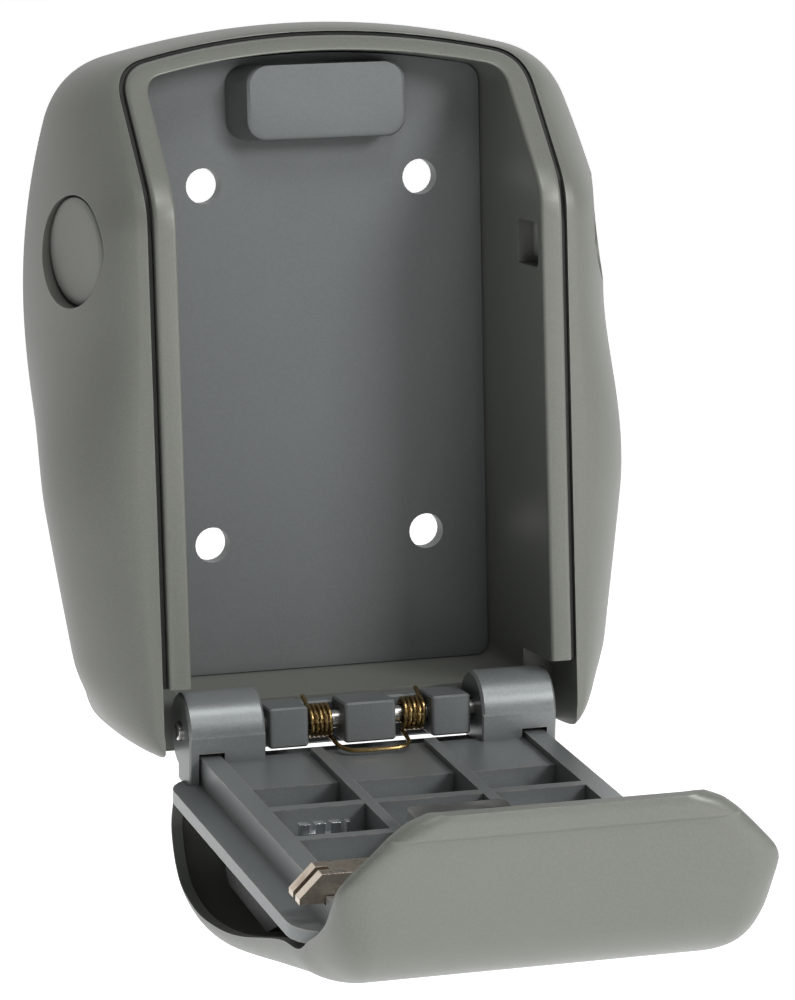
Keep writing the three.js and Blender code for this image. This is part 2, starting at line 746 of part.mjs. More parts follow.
// closes the far end of the tray, standing where the hood begins
function endWall() {
  const w = FLANGE_END;
  return sideProfile([
    [flangeAt(w) - 1, w - 3],
    [flangeAt(w) + RIB_H, w - 3],
    [flangeAt(w) + RIB_H + 5, w + 3],
    [hoodAt(w + 8) - 1.2, w + 8],
    [flangeAt(w) - 1, w],
  ], -RAIL_OUT, RAIL_OUT);
}

// a straight rib standing on the tray, lengthwise
function longRib(x0, x1, w0, w1) {
  return sideProfile([
    [flangeAt(w0) - 1, w0],
    [flangeAt(w0) + RIB_H, w0],
    [flangeAt(w1) + RIB_H, w1],
    [flangeAt(w1) - 1, w1],
  ], x0, x1);
}

function crossRibs() {
  const reach = RAIL_IN + 0.5;
  return CROSS_RIBS.map((w) => box(-reach, reach, flangeAt(w) - 1, flangeAt(w) + RIB_H, w - RIB_T, w));
}

// deep first rib, hollowed round the pin so that it clears the hinge blocks as the door swings
function shelf() {
  const slab = (half, w0, w1) => sideProfile([
    [flangeAt(w0) - FLANGE_T, w0],
    [flangeAt(w0) + RIB_H - SHELF_DROP, w0],
    [flangeAt(w1) + RIB_H - SHELF_DROP, w1],
    [flangeAt(w1) - FLANGE_T, w1],
  ], -half, half);
  const near = slab(KNUCKLE_IN + 0.5, SHELF_START, KNUCKLE_R);
  const far = slab(RAIL_IN + 0.5, KNUCKLE_R - 1, SHELF_END);
  return cut(join(near, far), rod(CRADLE_R, -KNUCKLE_OUT, KNUCKLE_OUT, 0, 0, 48));
}

// hangs the shutter pin below the tray
function hanger(side) {
  const [a, b] = side > 0 ? [HANGER_IN, HANGER_OUT] : [-HANGER_OUT, -HANGER_IN];
  const eye = rod(HANGER_R, a, b, SHUTTER_PIN_V, SHUTTER_PIN_W, 28);
  const neck = box(a, b, SHUTTER_PIN_V, flangeAt(0) - 1, SHUTTER_PIN_W - 1, SHUTTER_PIN_W + HANGER_R);
  return join(eye, neck);
}

function boltWay(side) {
  const x0 = SLIDE_HALF - 5;
  const x1 = RAIL_OUT + 1;
  const w0 = BOLT_W - BOLT_H / 2 - RUN;
  const bar = box(x0, x1, BOLT_LOW - RUN, BOLT_HIGH + 4, w0, w0 + BOLT_H + 2 * RUN);
  const ear = box(RIB_X - RIB_T, BOLT_NECK + 1, BOLT_LOW - 3, BOLT_HIGH, w0 - EAR_DROP, w0 + 1);
  const way = join(bar, ear);
  return side > 0 ? way : way.mirror([1, 0, 0]);
}

function doorTray() {
  const bodies = [traySkin(), hood(), endWall(), shelf(), ...crossRibs()];
  for (const side of [-1, 1]) {
    const [a, b] = side > 0 ? [RAIL_IN, RAIL_OUT] : [-RAIL_OUT, -RAIL_IN];
    bodies.push(knuckle(side));
    bodies.push(longRib(a, b, KNUCKLE_R - 2.2, FLANGE_END - 2));
    bodies.push(longRib(side * RIB_X - RIB_T / 2, side * RIB_X + RIB_T / 2, CRADLE_R - 0.6, FLANGE_END - 2));
    bodies.push(hanger(side));
  }
  const tools = [
    rod(PIN_R + RUN / 2, -60, 60, 0, 0),
    rod(SHUTTER_PIN_R + RUN / 2, -60, 60, SHUTTER_PIN_V, SHUTTER_PIN_W),
    stemWay(),
    slideWay(),
    resetWay(),
  ];
  for (const side of [-1, 1]) {
    tools.push(boltWay(side));
    tools.push(upright(SCREW_R + RUN / 2, side * SCREW_X, -30, 0, SCREW_W));
  }
  return cut(join(...bodies), ...tools);
}

// ---------------------------------------------------------------- lock works
// a short round post standing across the door
function upright(radius, x, v0, v1, w, sides = 20) {
  const geometry = new THREE.CylinderGeometry(radius, radius, v1 - v0, sides);
  geometry.translate(x, (v0 + v1) / 2, w);
  return solid(geometry);
}

// clear way through the tray for the stem between lever and slide
function stemWay() {
  const reach = STEM_HALF + RUN;
  const w0 = LEVER_W - STEM_DEEP - SLIDE_TRAVEL - RUN;
  return box(-reach, reach, -40, 0, w0, LEVER_W + STEM_DEEP + RUN);
}

function slideWay() {
  const reach = SLIDE_HALF + RUN;
  const w0 = SLIDE_START - SLIDE_TRAVEL - RUN;
  return box(-reach, reach, SLIDE_LOW - RUN, 10, w0, FLANGE_END - 3.2);
}

function lockSlide() {
  const high = SLIDE_LOW + SLIDE_T;
  const end = PEG_W + SLIDE_TRAVEL + PEG_R + 1.8;
  const plate = block(-SLIDE_HALF, SLIDE_HALF, SLIDE_LOW, high, SLIDE_START, end, 1.2, "y", 0.2);
  const window = block(-6, 6, SLIDE_LOW - 2, high + 2, SLIDE_START + 12, SLIDE_START + 24, 2, "y", 0.1);
  return cut(plate, window, camSlot(1), camSlot(-1));
}

// slanted slot that draws a bolt in as the slide comes down
function camSlot(side) {
  const r = PEG_R + RUN;
  const a = new THREE.Vector2(side * PEG_X, PEG_W);
  const b = new THREE.Vector2(side * (PEG_X - BOLT_TRAVEL), PEG_W + SLIDE_TRAVEL);
  const middle = a.clone().add(b).multiplyScalar(0.5);
  const length = a.distanceTo(b);
  const angle = Math.atan2(b.y - a.y, b.x - a.x);
  const shape = new THREE.Shape();
  shape.moveTo(-length / 2, -r);
  shape.lineTo(length / 2, -r);
  shape.absarc(length / 2, 0, r, -Math.PI / 2, Math.PI / 2);
  shape.lineTo(-length / 2, r);
  shape.absarc(-length / 2, 0, r, Math.PI / 2, 1.5 * Math.PI);
  const through = { depth: 12, bevelEnabled: false, curveSegments: 6 };
  const geometry = new THREE.ExtrudeGeometry(shape, through);
  geometry.translate(0, 0, -6);
  geometry.rotateZ(angle);
  geometry.rotateX(Math.PI / 2);
  geometry.translate(middle.x, SLIDE_LOW, middle.y);
  return solid(geometry);
}

function slideStem() {
  const low = LEVER_V - TOUCH - 0.6;
  return box(-STEM_HALF, STEM_HALF, low, SLIDE_LOW - TOUCH, LEVER_W - STEM_DEEP, LEVER_W + STEM_DEEP);
}

function bolt(side) {
  const w0 = BOLT_W - BOLT_H / 2;
  const tip = BOLT_TIP;
  const neck = BOLT_NECK;
  const shape = new THREE.Shape();
  shape.moveTo(PEG_X - 2.2, BOLT_LOW);
  shape.lineTo(tip, BOLT_LOW);
  shape.lineTo(tip, BOLT_LOW + 1.1);
  shape.lineTo(tip - BOLT_BEVEL, BOLT_HIGH);
  shape.lineTo(neck, BOLT_HIGH);
  shape.lineTo(neck, BOLT_LOW + TAIL_T);
  shape.lineTo(PEG_X - 2.2, BOLT_LOW + TAIL_T);
  const geometry = new THREE.ExtrudeGeometry(shape, { depth: BOLT_H, bevelEnabled: false });
  geometry.translate(0, 0, w0);
  const groove = box(tip - 6.5, tip + 1, BOLT_LOW - 1, BOLT_HIGH + 1, BOLT_W - 0.8, BOLT_W + 0.8);
  const ear = box(neck, neck + BOLT_EAR, BOLT_LOW - 2.6, BOLT_LOW + 2.4, w0 - EAR_DROP, w0 + 0.2);
  const peg = upright(PEG_R, PEG_X, BOLT_LOW + 0.2, SLIDE_LOW + SLIDE_T - 0.2, PEG_W);
  const body = join(cut(solid(geometry), groove), ear, peg);
  return side > 0 ? body : body.mirror([1, 0, 0]);
}

function boltSpring(side) {
  const w = BOLT_W - BOLT_H / 2 - 3.2;
  const v = BOLT_LOW + BOLT_T / 2 - 3.2;
  const x0 = BOLT_NECK + BOLT_EAR + 0.7;
  const x1 = RAIL_IN - 0.7;
  const steps = BOLT_COIL_TURNS * 8;
  const points = [];
  for (let i = 0; i <= steps; i += 1) {
    const t = i / steps;
    const angle = 2 * Math.PI * BOLT_COIL_TURNS * t;
    points.push([side * mix(x0, x1, t), v + BOLT_COIL * Math.cos(angle), w + BOLT_COIL * Math.sin(angle)]);
  }
  return wire(points, 0.38, BOLT_COIL_TURNS * 10, 4);
}

// chrome lever that frees the dials for a new code; it slides across between two guides
function resetWay() {
  const low = flangeAt(RESET_W) - 0.2;
  const w0 = RESET_W - RESET_HALF - 0.6;
  const w1 = RESET_W + RESET_HALF + 0.6;
  return box(RESET_LEFT - 0.8, RESET_RIGHT + 0.6 + RESET_TRAVEL, low, 5, w0, w1);
}

function resetLever() {
  const v = flangeAt(RESET_W) + TOUCH;
  const [w0, w1] = [RESET_W - RESET_HALF, RESET_W + RESET_HALF];
  const foot = block(RESET_LEFT, RESET_RIGHT, v, v + 1.6, w0, w1, 0.8, "y", 0.2);
  const comb = box(RESET_LEFT + 0.4, RESET_RIGHT - 0.4, v + 1, v + RIB_H + 0.6, RESET_W - 0.9, RESET_W + 0.9);
  const bites = [];
  for (let i = 0; i < 3; i += 1) {
    const x = RESET_LEFT + 2.2 + 3 * i;
    bites.push(box(x, x + 1.1, v + 4.4 - 0.5 * i, v + 9, RESET_W - 2, RESET_W + 2));
  }
  return cut(join(foot, comb), ...bites);
}

// ---------------------------------------------------------------- dial housing
function underTray(w) {
  return flangeAt(w) - FLANGE_T - TOUCH;
}

function dialX(i) {
  return (i - (DIAL_COUNT - 1) / 2) * DIAL_PITCH;
}

function dialHousing() {
  const w0 = HOUSING_START;
  const w1 = HOUSING_END;
  const body = sideProfile([
    [underTray(w0), w0],
    [underTray(w1), w1],
    [LEVER_V + 2.4, w1],
    [LEVER_V - 0.6, LEVER_W - 6],
    [HOUSING_FACE, DIAL_W + DIAL_R + 4],
    [HOUSING_FACE, w0 + 7],
    [HOUSING_FACE + 4, w0 + 1.4],
  ], -HOUSING_HALF, HOUSING_HALF);
  const trim = block(-HOUSING_HALF, HOUSING_HALF, -40, 0, w0, w1, 5, "y", 0.1);
  const tools = [stemWay(), leverRecess(), spindleBore()];
  for (let i = 0; i < DIAL_COUNT; i += 1) {
    const half = DIAL_T / 2 + RUN;
    tools.push(rod(DIAL_R + 0.5, dialX(i) - half, dialX(i) + half, DIAL_V, DIAL_W, 40, 0.01));
  }
  for (const side of [-1, 1]) {
    tools.push(upright(SCREW_R + 0.15, side * SCREW_X, SCREW_END - 0.6, 0, SCREW_W));
  }
  return cut(body.intersect(trim), ...tools);
}

function spindleBore() {
  const half = SPINDLE_HALF + RUN;
  return rod(SPINDLE_R + 0.15, -half, half, DIAL_V, DIAL_W);
}

function leverRecess() {
  const reach = LEVER_HALF + RUN;
  const half = LEVER_H / 2 + RUN;
  return box(-reach, reach, -40, LEVER_V, LEVER_W - half - SLIDE_TRAVEL, LEVER_W + half);
}

function dial() {
  const half = DIAL_T / 2;
  const wheel = rod(DIAL_R, -half, half, 0, 0, 40, 0.5);
  const tools = [rod(SPINDLE_R + RUN / 2, -half - 1, half + 1, 0, 0)];
  for (let i = 0; i < DIAL_TEETH; i += 1) {
    const angle = ((i + 0.5) / DIAL_TEETH) * 2 * Math.PI;
    const y = (DIAL_R + 0.3) * Math.sin(angle);
    const z = (DIAL_R + 0.3) * Math.cos(angle);
    tools.push(rod(TOOTH_GAP_R, -half - 1, half + 1, y, z, 10, 0.01));
  }
  return cut(wheel, ...tools);
}

function spindle() {
  return rod(SPINDLE_R, -SPINDLE_HALF, SPINDLE_HALF, DIAL_V, DIAL_W, 24);
}

function releaseLever() {
  const high = LEVER_V - TOUCH;
  const face = high - LEVER_T;
  const w0 = LEVER_W - LEVER_H / 2;
  const pad = block(-LEVER_HALF, LEVER_HALF, face, high, w0, w0 + LEVER_H, 1.6, "y", 0.3);
  const grip = LEVER_HALF - 1.4;
  const grooves = [];
  for (let i = 0; i < 3; i += 1) {
    const w = w0 + 3 + 2.6 * i;
    grooves.push(box(-grip, grip, face - 1, face + 0.5, w, w + 1));
  }
  const reach = STEM_HALF + TOUCH / 2;
  const deep = STEM_DEEP + TOUCH;
  const socket = box(-reach, reach, high - 0.9, high + 1, LEVER_W - deep, LEVER_W + deep);
  return cut(pad, socket, ...grooves);
}

function housingScrew(side) {
  const seat = flangeAt(SCREW_W) + TOUCH;
  const shank = upright(SCREW_R, side * SCREW_X, SCREW_END, seat + 0.5, SCREW_W);
  const head = upright(SCREW_HEAD_R, side * SCREW_X, seat, seat + SCREW_HEAD_T, SCREW_W, 28);
  const cross = [
    box(-2, 2, seat + 0.9, seat + 3, -0.35, 0.35),
    box(-0.35, 0.35, seat + 0.9, seat + 3, -2, 2),
  ].map((slot) => slot.translate([side * SCREW_X, 0, SCREW_W]));
  return cut(join(shank, head), ...cross);
}

// ---------------------------------------------------------------- weather cover
// stations along the side view: outer skin, rim of the side wall, half width, corner width;
// the far end narrows and tucks under the top of the mouth
function shutterStations() {
  const h = SHUTTER_HALF;
  const m = MOUTH_HALF;
  const drawn = [
    [0.2, -13.4, 3.0, -13.2, h - 1, 4],
    [-0.2, -17.2, 3.4, -17.2, h - 0.5, 5],
    [1.0, -21.5, 5.0, -20.0, h - 0.2, 7],
    [4.5, -26.5, 8.0, -23.6, h, 9],
    [10, -30.8, 12.0, -26.8, h, 11],
    [17.5, -33.4, 18.2, -28.2, h, 12],
    [27, -34.2, 26.8, -28.4, h, 12],
    [38, -33, 37, -27, h, 12],
    [50, -30, 48.5, -24.6, h, 12],
    [63, -26.5, 61, -21, h, 12],
    [77, -22.7, 74.5, -16.4, h, 11],
    [90, -19.1, 87, -12.4, h, 10],
    [101, -16.1, 97.4, -10.4, h, 9],
    [109, -13.4, 104, -6.6, h, 9],
    [115.5, -9.8, 110, -3.2, h, 8],
    [119.8, -5, 114.6, 0.2, h, 8],
    [122.2, 1, 118, 4, h, 8],
    [123.6, 6.4, 120.6, 7.5, h - 0.1, 7],
    [124.2, 9.2, 121.5, 9.7, h - 0.9, 6],
    [124.5, 11.2, 121.9, 11.4, h - 2.2, 6],
    [124.8, 13.2, 122.5, 13.3, m, 6],
    [125.1, 15.2, 122.8, 15.3, m - 1.9, 6],
    [125.3, 17.2, 122.9, 17.3, m - 3.9, 6],
    [125.8, 17.8, 122.9, 17.9, m - 4.5, 6],
    [125.95, 18.9, 123, 19, m - 5.8, 6],
    [125.95, 20.6, 123.1, 20.7, m - 8.2, 6],
    [125.7, 22, 123.3, 22.1, m - 11.6, 5],
  ];
  const along = (w) => w + (SHUTTER_END - DRAWN_END) * smooth(BOWL_END, SLOPE_START, w);
  const face = HOUSING_FACE - DRAWN_FACE;
  const wallward = (w) => mix(face, -PIN_Y - DRAWN_PIN, smooth(SLOPE_START, DRAWN_END, w));
  return drawn.map(([w, v, rimW, rimV, half, corner]) => [
    along(w), v + wallward(w), along(rimW), rimV + wallward(w), half, corner,
  ]);
}

function shutterRing([w, v, rimW, rimV, half, corner], t) {
  const span = Math.hypot(rimW - w, rimV - v);
  const height = Math.max(span, t);
  const dir = [(rimW - w) / span, (rimV - v) / span];
  const place = (x, off) => [x, v + dir[1] * off, w + dir[0] * off];
  const steps = 7;
  const side = (sign, wall) => {
    const list = [];
    for (let i = 0; i <= steps; i += 1) {
      const angle = (i / steps) * (Math.PI / 2);
      const x = half - corner + (corner - wall) * Math.cos(angle);
      list.push(place(sign * x, wall + (height - wall) * (1 - Math.sin(angle))));
    }
    return list;
  };
  const outer = [...side(-1, 0), place(0, 0), ...side(1, 0).reverse()];
  const inner = [...side(-1, t), place(0, t), ...side(1, t).reverse()];
  return [...outer, ...inner.reverse()];
}

function shutterShell() {
  const rings = shutterStations().map((station) => shutterRing(station, SHUTTER_T));
  const m = rings[0].length / 2;
  const caps = [];
  for (let i = 0; i < m - 1; i += 1) {
    caps.push([i, i + 1, 2 * m - 2 - i, 2 * m - 1 - i]);
  }
  return loft(rings, false, caps);
}

function shutterEar(side) {
  const in0 = HANGER_OUT + RUN;
  const [a, b] = side > 0 ? [in0, EAR_OUT] : [-EAR_OUT, -in0];
  const eye = rod(HANGER_R, a, b, SHUTTER_PIN_V, SHUTTER_PIN_W, 28);
  const web = sideProfile([
    [SHUTTER_PIN_V, SHUTTER_PIN_W - 2.2],
    [SHUTTER_PIN_V, SHUTTER_PIN_W + HANGER_R],
    [SHUTTER_PIN_V - 13, 8.6],
    [SHUTTER_PIN_V - 6.4, 1.8],
    [SHUTTER_PIN_V - 2.4, SHUTTER_PIN_W - 2.4],
  ], a, b);
  return join(eye, web);
}

function shutter() {
  const slots = [];
  for (const side of [-1, 1]) {
    const [a, b] = side > 0 ? [HANGER_IN - 1, HANGER_OUT + RUN] : [-HANGER_OUT - RUN, -HANGER_IN + 1];
    const low = SHUTTER_PIN_V - HANGER_R - 1.2;
    slots.push(box(a, b, low, FLANGE_V + 1.2, -3, SHUTTER_PIN_W + HANGER_R + 2));
  }
  const shell = cut(shutterShell(), ...slots);
  const bore = rod(SHUTTER_PIN_R + RUN / 2, -60, 60, SHUTTER_PIN_V, SHUTTER_PIN_W);
  return cut(join(shell, shutterEar(1), shutterEar(-1)), bore);
}

function shutterPin() {
  return rod(SHUTTER_PIN_R, -SHUTTER_PIN_HALF, SHUTTER_PIN_HALF, SHUTTER_PIN_V, SHUTTER_PIN_W, 20);
}

// ---------------------------------------------------------------- assembly
const lockBox = new THREE.Group();
lockBox.name = "key_lock_box";
lockBox.add(piece("case_shell", caseShell(), paint(...CASE_PAINT)));
lockBox.add(piece("mounting_plate", mountingPlate(), paint(0x646a69, 0.55, 0.35)));
lockBox.add(piece("strike_block", strikeBlock(), paint(0x6b7170, 0.5, 0.35)));
lockBox.add(piece("rim_seal", rimSeal(), paint(...BLACK)));
lockBox.add(piece("side_plug_left", sidePlug(-1), paint(...CASE_PAINT)));
lockBox.add(piece("side_plug_right", sidePlug(1), paint(...CASE_PAINT)));
lockBox.add(piece("hinge_bracket", hingeBracket(), paint(0x6c7273, 0.5, 0.4)));
lockBox.add(piece("hinge_pin", hingePin(), paint(...STEEL)));
lockBox.add(piece("torsion_spring", torsionSpring(), paint(0xa3854f, 0.35, 0.9)));

const door = new THREE.Group();
door.name = "door";
door.position.set(0, PIN_Y, PIN_Z);
door.rotation.x = (OPEN_ANGLE * Math.PI) / 180;
door.add(piece("door_tray", doorTray(), paint(...DOOR_CAST)));
door.add(piece("dial_housing", dialHousing(), paint(0x2f3131, 0.6, 0.1)));
door.add(piece("dial_spindle", spindle(), paint(...STEEL)));
for (let i = 0; i < DIAL_COUNT; i += 1) {
  const wheel = piece(`number_dial_${i + 1}`, dial(), paint(0x1d1e1f, 0.45, 0.1));
  wheel.position.set(dialX(i), DIAL_V, DIAL_W);
  door.add(wheel);
}
door.add(piece("release_lever", releaseLever(), paint(0x1f2021, 0.5, 0.1)));
door.add(piece("slide_stem", slideStem(), paint(...STEEL)));
door.add(piece("lock_slide", lockSlide(), paint(0xb4b4ae, 0.35, 0.9)));
door.add(piece("bolt_left", bolt(-1), paint(0xb9ad98, 0.3, 0.9)));
door.add(piece("bolt_right", bolt(1), paint(0xb9ad98, 0.3, 0.9)));
door.add(piece("bolt_spring_left", boltSpring(-1), paint(...STEEL)));
door.add(piece("bolt_spring_right", boltSpring(1), paint(...STEEL)));
door.add(piece("code_reset_lever", resetLever(), paint(0xc9ccce, 0.15, 1)));
door.add(piece("housing_screw_left", housingScrew(-1), paint(...STEEL)));
door.add(piece("housing_screw_right", housingScrew(1), paint(...STEEL)));
door.add(piece("shutter_pin", shutterPin(), paint(...STEEL)));
door.add(piece("shutter", shutter(), paint(0x82857e, 0.46, 0.3)));
lockBox.add(door);

export default lockBox;
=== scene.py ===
# Looks for the wall-mounted key lock box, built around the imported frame.
# Metres; +X right, +Y into the wall, +Z up. The door hangs open at rest.
import json
import math

import bmesh
import bpy
from mathutils import Matrix, Vector

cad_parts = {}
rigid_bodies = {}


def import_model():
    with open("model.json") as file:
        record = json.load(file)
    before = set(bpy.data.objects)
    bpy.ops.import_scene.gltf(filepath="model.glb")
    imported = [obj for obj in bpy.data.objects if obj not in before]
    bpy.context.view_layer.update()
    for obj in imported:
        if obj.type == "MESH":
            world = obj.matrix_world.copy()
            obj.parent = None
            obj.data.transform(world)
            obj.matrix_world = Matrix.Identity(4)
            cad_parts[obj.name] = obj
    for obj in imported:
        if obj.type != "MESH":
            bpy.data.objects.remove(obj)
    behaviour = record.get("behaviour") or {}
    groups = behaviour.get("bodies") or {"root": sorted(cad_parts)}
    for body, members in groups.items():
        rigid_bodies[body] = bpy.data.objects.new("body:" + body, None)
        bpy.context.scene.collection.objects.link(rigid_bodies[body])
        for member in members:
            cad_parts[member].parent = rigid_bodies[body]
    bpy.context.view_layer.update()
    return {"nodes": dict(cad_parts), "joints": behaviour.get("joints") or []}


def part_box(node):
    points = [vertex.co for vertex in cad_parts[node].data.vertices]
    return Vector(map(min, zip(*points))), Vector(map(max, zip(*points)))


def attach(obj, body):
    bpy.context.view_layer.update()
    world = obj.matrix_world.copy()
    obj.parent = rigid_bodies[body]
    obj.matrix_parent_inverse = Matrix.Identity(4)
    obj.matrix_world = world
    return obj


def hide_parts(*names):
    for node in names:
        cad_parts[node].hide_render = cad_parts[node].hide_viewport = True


# The startup scene is emptied before the frame comes in.
for leftover in list(bpy.data.objects):
    bpy.data.objects.remove(leftover)
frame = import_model()
NODES = frame["nodes"]
MM = 0.001

# ------------------------------------------------------------------ sizes from the frame
JOINTS = {j["name"]: j for j in frame["joints"]}
PIN = Vector(JOINTS["door_hinge"]["pos_m"])
OPEN = math.radians(JOINTS["door_hinge"]["range_deg"][1])
DOOR = Matrix.Translation(PIN) @ Matrix.Rotation(OPEN, 4, "X")  # closed door frame to the world
DIALS = [n for n in NODES if n.startswith("number_dial_")]


# ------------------------------------------------------------------ shader helpers
class Paint:
    """A node material made step by step."""

    def __init__(self, name):
        self.material = bpy.data.materials.new(name)
        self.material.use_nodes = True
        self.tree = self.material.node_tree
        self.shader = self.tree.nodes["Principled BSDF"]
        self.coords = self.tree.nodes.new("ShaderNodeTexCoord").outputs["Object"]

    def put(self, socket, value):
        if isinstance(value, bpy.types.NodeSocket):
            self.tree.links.new(value, socket)
        else:
            socket.default_value = value

    def node(self, kind, **inputs):
        made = self.tree.nodes.new(kind)
        for key, value in inputs.items():
            if key in made.inputs:
                self.put(made.inputs[key], value)
            else:
                setattr(made, key, value)
        return made

    def noise(self, scale, detail=4.0, roughness=0.55, stretch=None):
        where = self.coords
        if stretch:
            moved = self.node("ShaderNodeMapping")
            self.tree.links.new(self.coords, moved.inputs["Vector"])
            moved.inputs["Scale"].default_value = stretch
            where = moved.outputs["Vector"]
        made = self.node("ShaderNodeTexNoise", Scale=scale, Detail=detail, Roughness=roughness)
        self.tree.links.new(where, made.inputs["Vector"])
        return made.outputs["Fac"]

    def ramp(self, value, low, high, dark=0.0, bright=1.0):
        made = self.node("ShaderNodeMapRange", Value=value)
        made.inputs["From Min"].default_value = low
        made.inputs["From Max"].default_value = high
        made.inputs["To Min"].default_value = dark
        made.inputs["To Max"].default_value = bright
        return made.outputs["Result"]

    def math(self, operation, a, b):
        made = self.node("ShaderNodeMath", operation=operation)
        self.put(made.inputs[0], a)
        self.put(made.inputs[1], b)
        return made.outputs[0]

    def mix(self, factor, a, b):
        made = self.node("ShaderNodeMix", data_type="RGBA")
        self.put(made.inputs["Factor"], factor)
        self.put(made.inputs["A"], a)
        self.put(made.inputs["B"], b)
        return made.outputs["Result"]

    def edges(self, radius):
        """1 on outward edges: where a rounded normal leaves the true one and nothing shades the spot."""
        rounded = self.node("ShaderNodeBevel", samples=6, Radius=radius)
        straight = self.node("ShaderNodeNewGeometry")
        dot = self.node("ShaderNodeVectorMath", operation="DOT_PRODUCT")
        self.put(dot.inputs[0], rounded.outputs["Normal"])
        self.put(dot.inputs[1], straight.outputs["Normal"])
        turned = self.ramp(dot.outputs["Value"], 0.97, 0.80)
        return self.math("MULTIPLY", turned, self.ramp(self.crevices(1.5 * MM), 0.55, 0.85))

    def crevices(self, distance):
        made = self.node("ShaderNodeAmbientOcclusion", Distance=distance, samples=6)
        return made.outputs["AO"]

    def bump(self, height, strength, distance):
        made = self.node("ShaderNodeBump", Height=height, Strength=strength, Distance=distance)
        self.put(self.shader.inputs["Normal"], made.outputs["Normal"])


def rgba(colour, factor=1.0):
    return tuple(min(1.0, c * factor) for c in colour) + (1.0,)


def painted(name, colour, rough, metal, grain, wear=None, wear_amount=0.5):
    """Satin paint over a casting: fine speckle, broad tone change, worn edges, painted shade darkening
    corners and creases.
    """
    p = Paint(name)
    speckle = p.noise(grain, 3.0, 0.6)
    broad = p.noise(38.0, 3.0)
    tone = p.mix(p.ramp(broad, 0.3, 0.7), rgba(colour, 0.965), rgba(colour, 1.035))
    tone = p.mix(p.math("MULTIPLY", p.ramp(speckle, 0.38, 0.68), 0.8), tone, rgba(colour, 1.16))
    # painted shade: the colour is darkened where ambient occlusion finds corners and creases
    shade = p.ramp(p.crevices(3 * MM), 0.35, 0.95)
    tone = p.mix(p.math("SUBTRACT", 1.0, shade), tone, rgba(colour, 0.7))
    if wear:
        scuffed = p.math("MULTIPLY", p.edges(0.45 * MM), p.ramp(p.noise(420.0, 5.0), 0.36, 0.62))
        tone = p.mix(p.math("MULTIPLY", scuffed, wear_amount), tone, rgba(wear))
    p.put(p.shader.inputs["Base Color"], tone)
    p.put(p.shader.inputs["Roughness"], p.ramp(speckle, 0.3, 0.7, rough - 0.05, rough + 0.06))
    p.shader.inputs["Metallic"].default_value = metal
    p.bump(speckle, 0.45, 0.05 * MM)
    return p.material


def bare_metal(name, colour, rough, tarnish=None, scratch=0.15):
    """Plated or brushed metal with drawn grain, small scratches and patches of tarnish."""
    p = Paint(name)
    lines = p.noise(700.0, 4.0, 0.6, stretch=(1.0, 12.0, 12.0))
    patches = p.noise(220.0, 4.0)
    tone = p.mix(p.ramp(lines, 0.3, 0.7), rgba(colour, 0.9), rgba(colour, 1.06))
    if tarnish:
        tone = p.mix(p.ramp(patches, 0.5, 0.7, 0.0, 0.65), tone, rgba(tarnish))
    p.put(p.shader.inputs["Base Color"], tone)
    p.put(p.shader.inputs["Roughness"], p.ramp(patches, 0.35, 0.7, rough - 0.06, rough + 0.12))
    p.shader.inputs["Metallic"].default_value = 1.0
    p.bump(lines, scratch, 0.04 * MM)
    return p.material


def plastic(name, colour, rough):
    """Moulded plastic or rubber: fine grain, slow tone change and pale scuffed edges."""
    p = Paint(name)
    fine = p.noise(1400.0, 2.0)
    broad = p.noise(60.0, 3.0)
    tone = p.mix(p.ramp(broad, 0.3, 0.7), rgba(colour, 0.88), rgba(colour, 1.15))
    scuffed = p.math("MULTIPLY", p.edges(0.4 * MM), 0.35)
    tone = p.mix(scuffed, tone, rgba(colour, 2.2))
    p.put(p.shader.inputs["Base Color"], tone)
    p.put(p.shader.inputs["Roughness"], p.ramp(fine, 0.3, 0.7, rough - 0.06, rough + 0.08))
    p.bump(fine, 0.3, 0.04 * MM)
    return p.material


MATERIALS = {
    "case_paint": painted("case_paint", (0.142, 0.147, 0.129), 0.42, 0.2, grain=2400.0,
                          wear=(0.33, 0.34, 0.31), wear_amount=0.4),
    "plate_paint": painted("plate_paint", (0.104, 0.112, 0.112), 0.50, 0.1, grain=2600.0),
    "bracket_paint": painted("bracket_paint", (0.120, 0.130, 0.130), 0.45, 0.2, grain=2400.0,
                             wear=(0.34, 0.34, 0.32), wear_amount=0.5),
    # near-black strip in the rim groove: painted shade standing where the groove's shadow line falls
    "seal_rubber": plastic("seal_rubber", (0.020, 0.021, 0.018), 0.75),
    "door_cast": painted("door_cast", (0.192, 0.206, 0.207), 0.36, 0.45, grain=2400.0,
                         wear=(0.52, 0.46, 0.38), wear_amount=0.75),
    "shutter_paint": painted("shutter_paint", (0.142, 0.148, 0.130), 0.42, 0.2, grain=2400.0,
                             wear=(0.34, 0.35, 0.32), wear_amount=0.4),
    "steel": bare_metal("steel", (0.60, 0.59, 0.56), 0.25),
    "spring_wire": bare_metal("spring_wire", (0.33, 0.23, 0.10), 0.26, tarnish=(0.14, 0.10, 0.06)),
    "bolt_metal": bare_metal("bolt_metal", (0.60, 0.52, 0.43), 0.28, tarnish=(0.32, 0.24, 0.17)),
    "slide_metal": bare_metal("slide_metal", (0.46, 0.46, 0.44), 0.36),
    "chrome": bare_metal("chrome", (0.90, 0.92, 0.94), 0.10, scratch=0.4),
    "housing_plastic": plastic("housing_plastic", (0.024, 0.025, 0.025), 0.5),
    "dial_plastic": plastic("dial_plastic", (0.010, 0.010, 0.011), 0.4),
}
NUMBER_PAINT = plastic("number_paint", (0.72, 0.72, 0.70), 0.45)


# ------------------------------------------------------------------ mesh helpers
def mesh_object(name, bm):
    mesh = bpy.data.meshes.new(name)
    bm.to_mesh(mesh)
    bm.free()
    made = bpy.data.objects.new(name, mesh)
    bpy.context.scene.collection.objects.link(made)
    return made


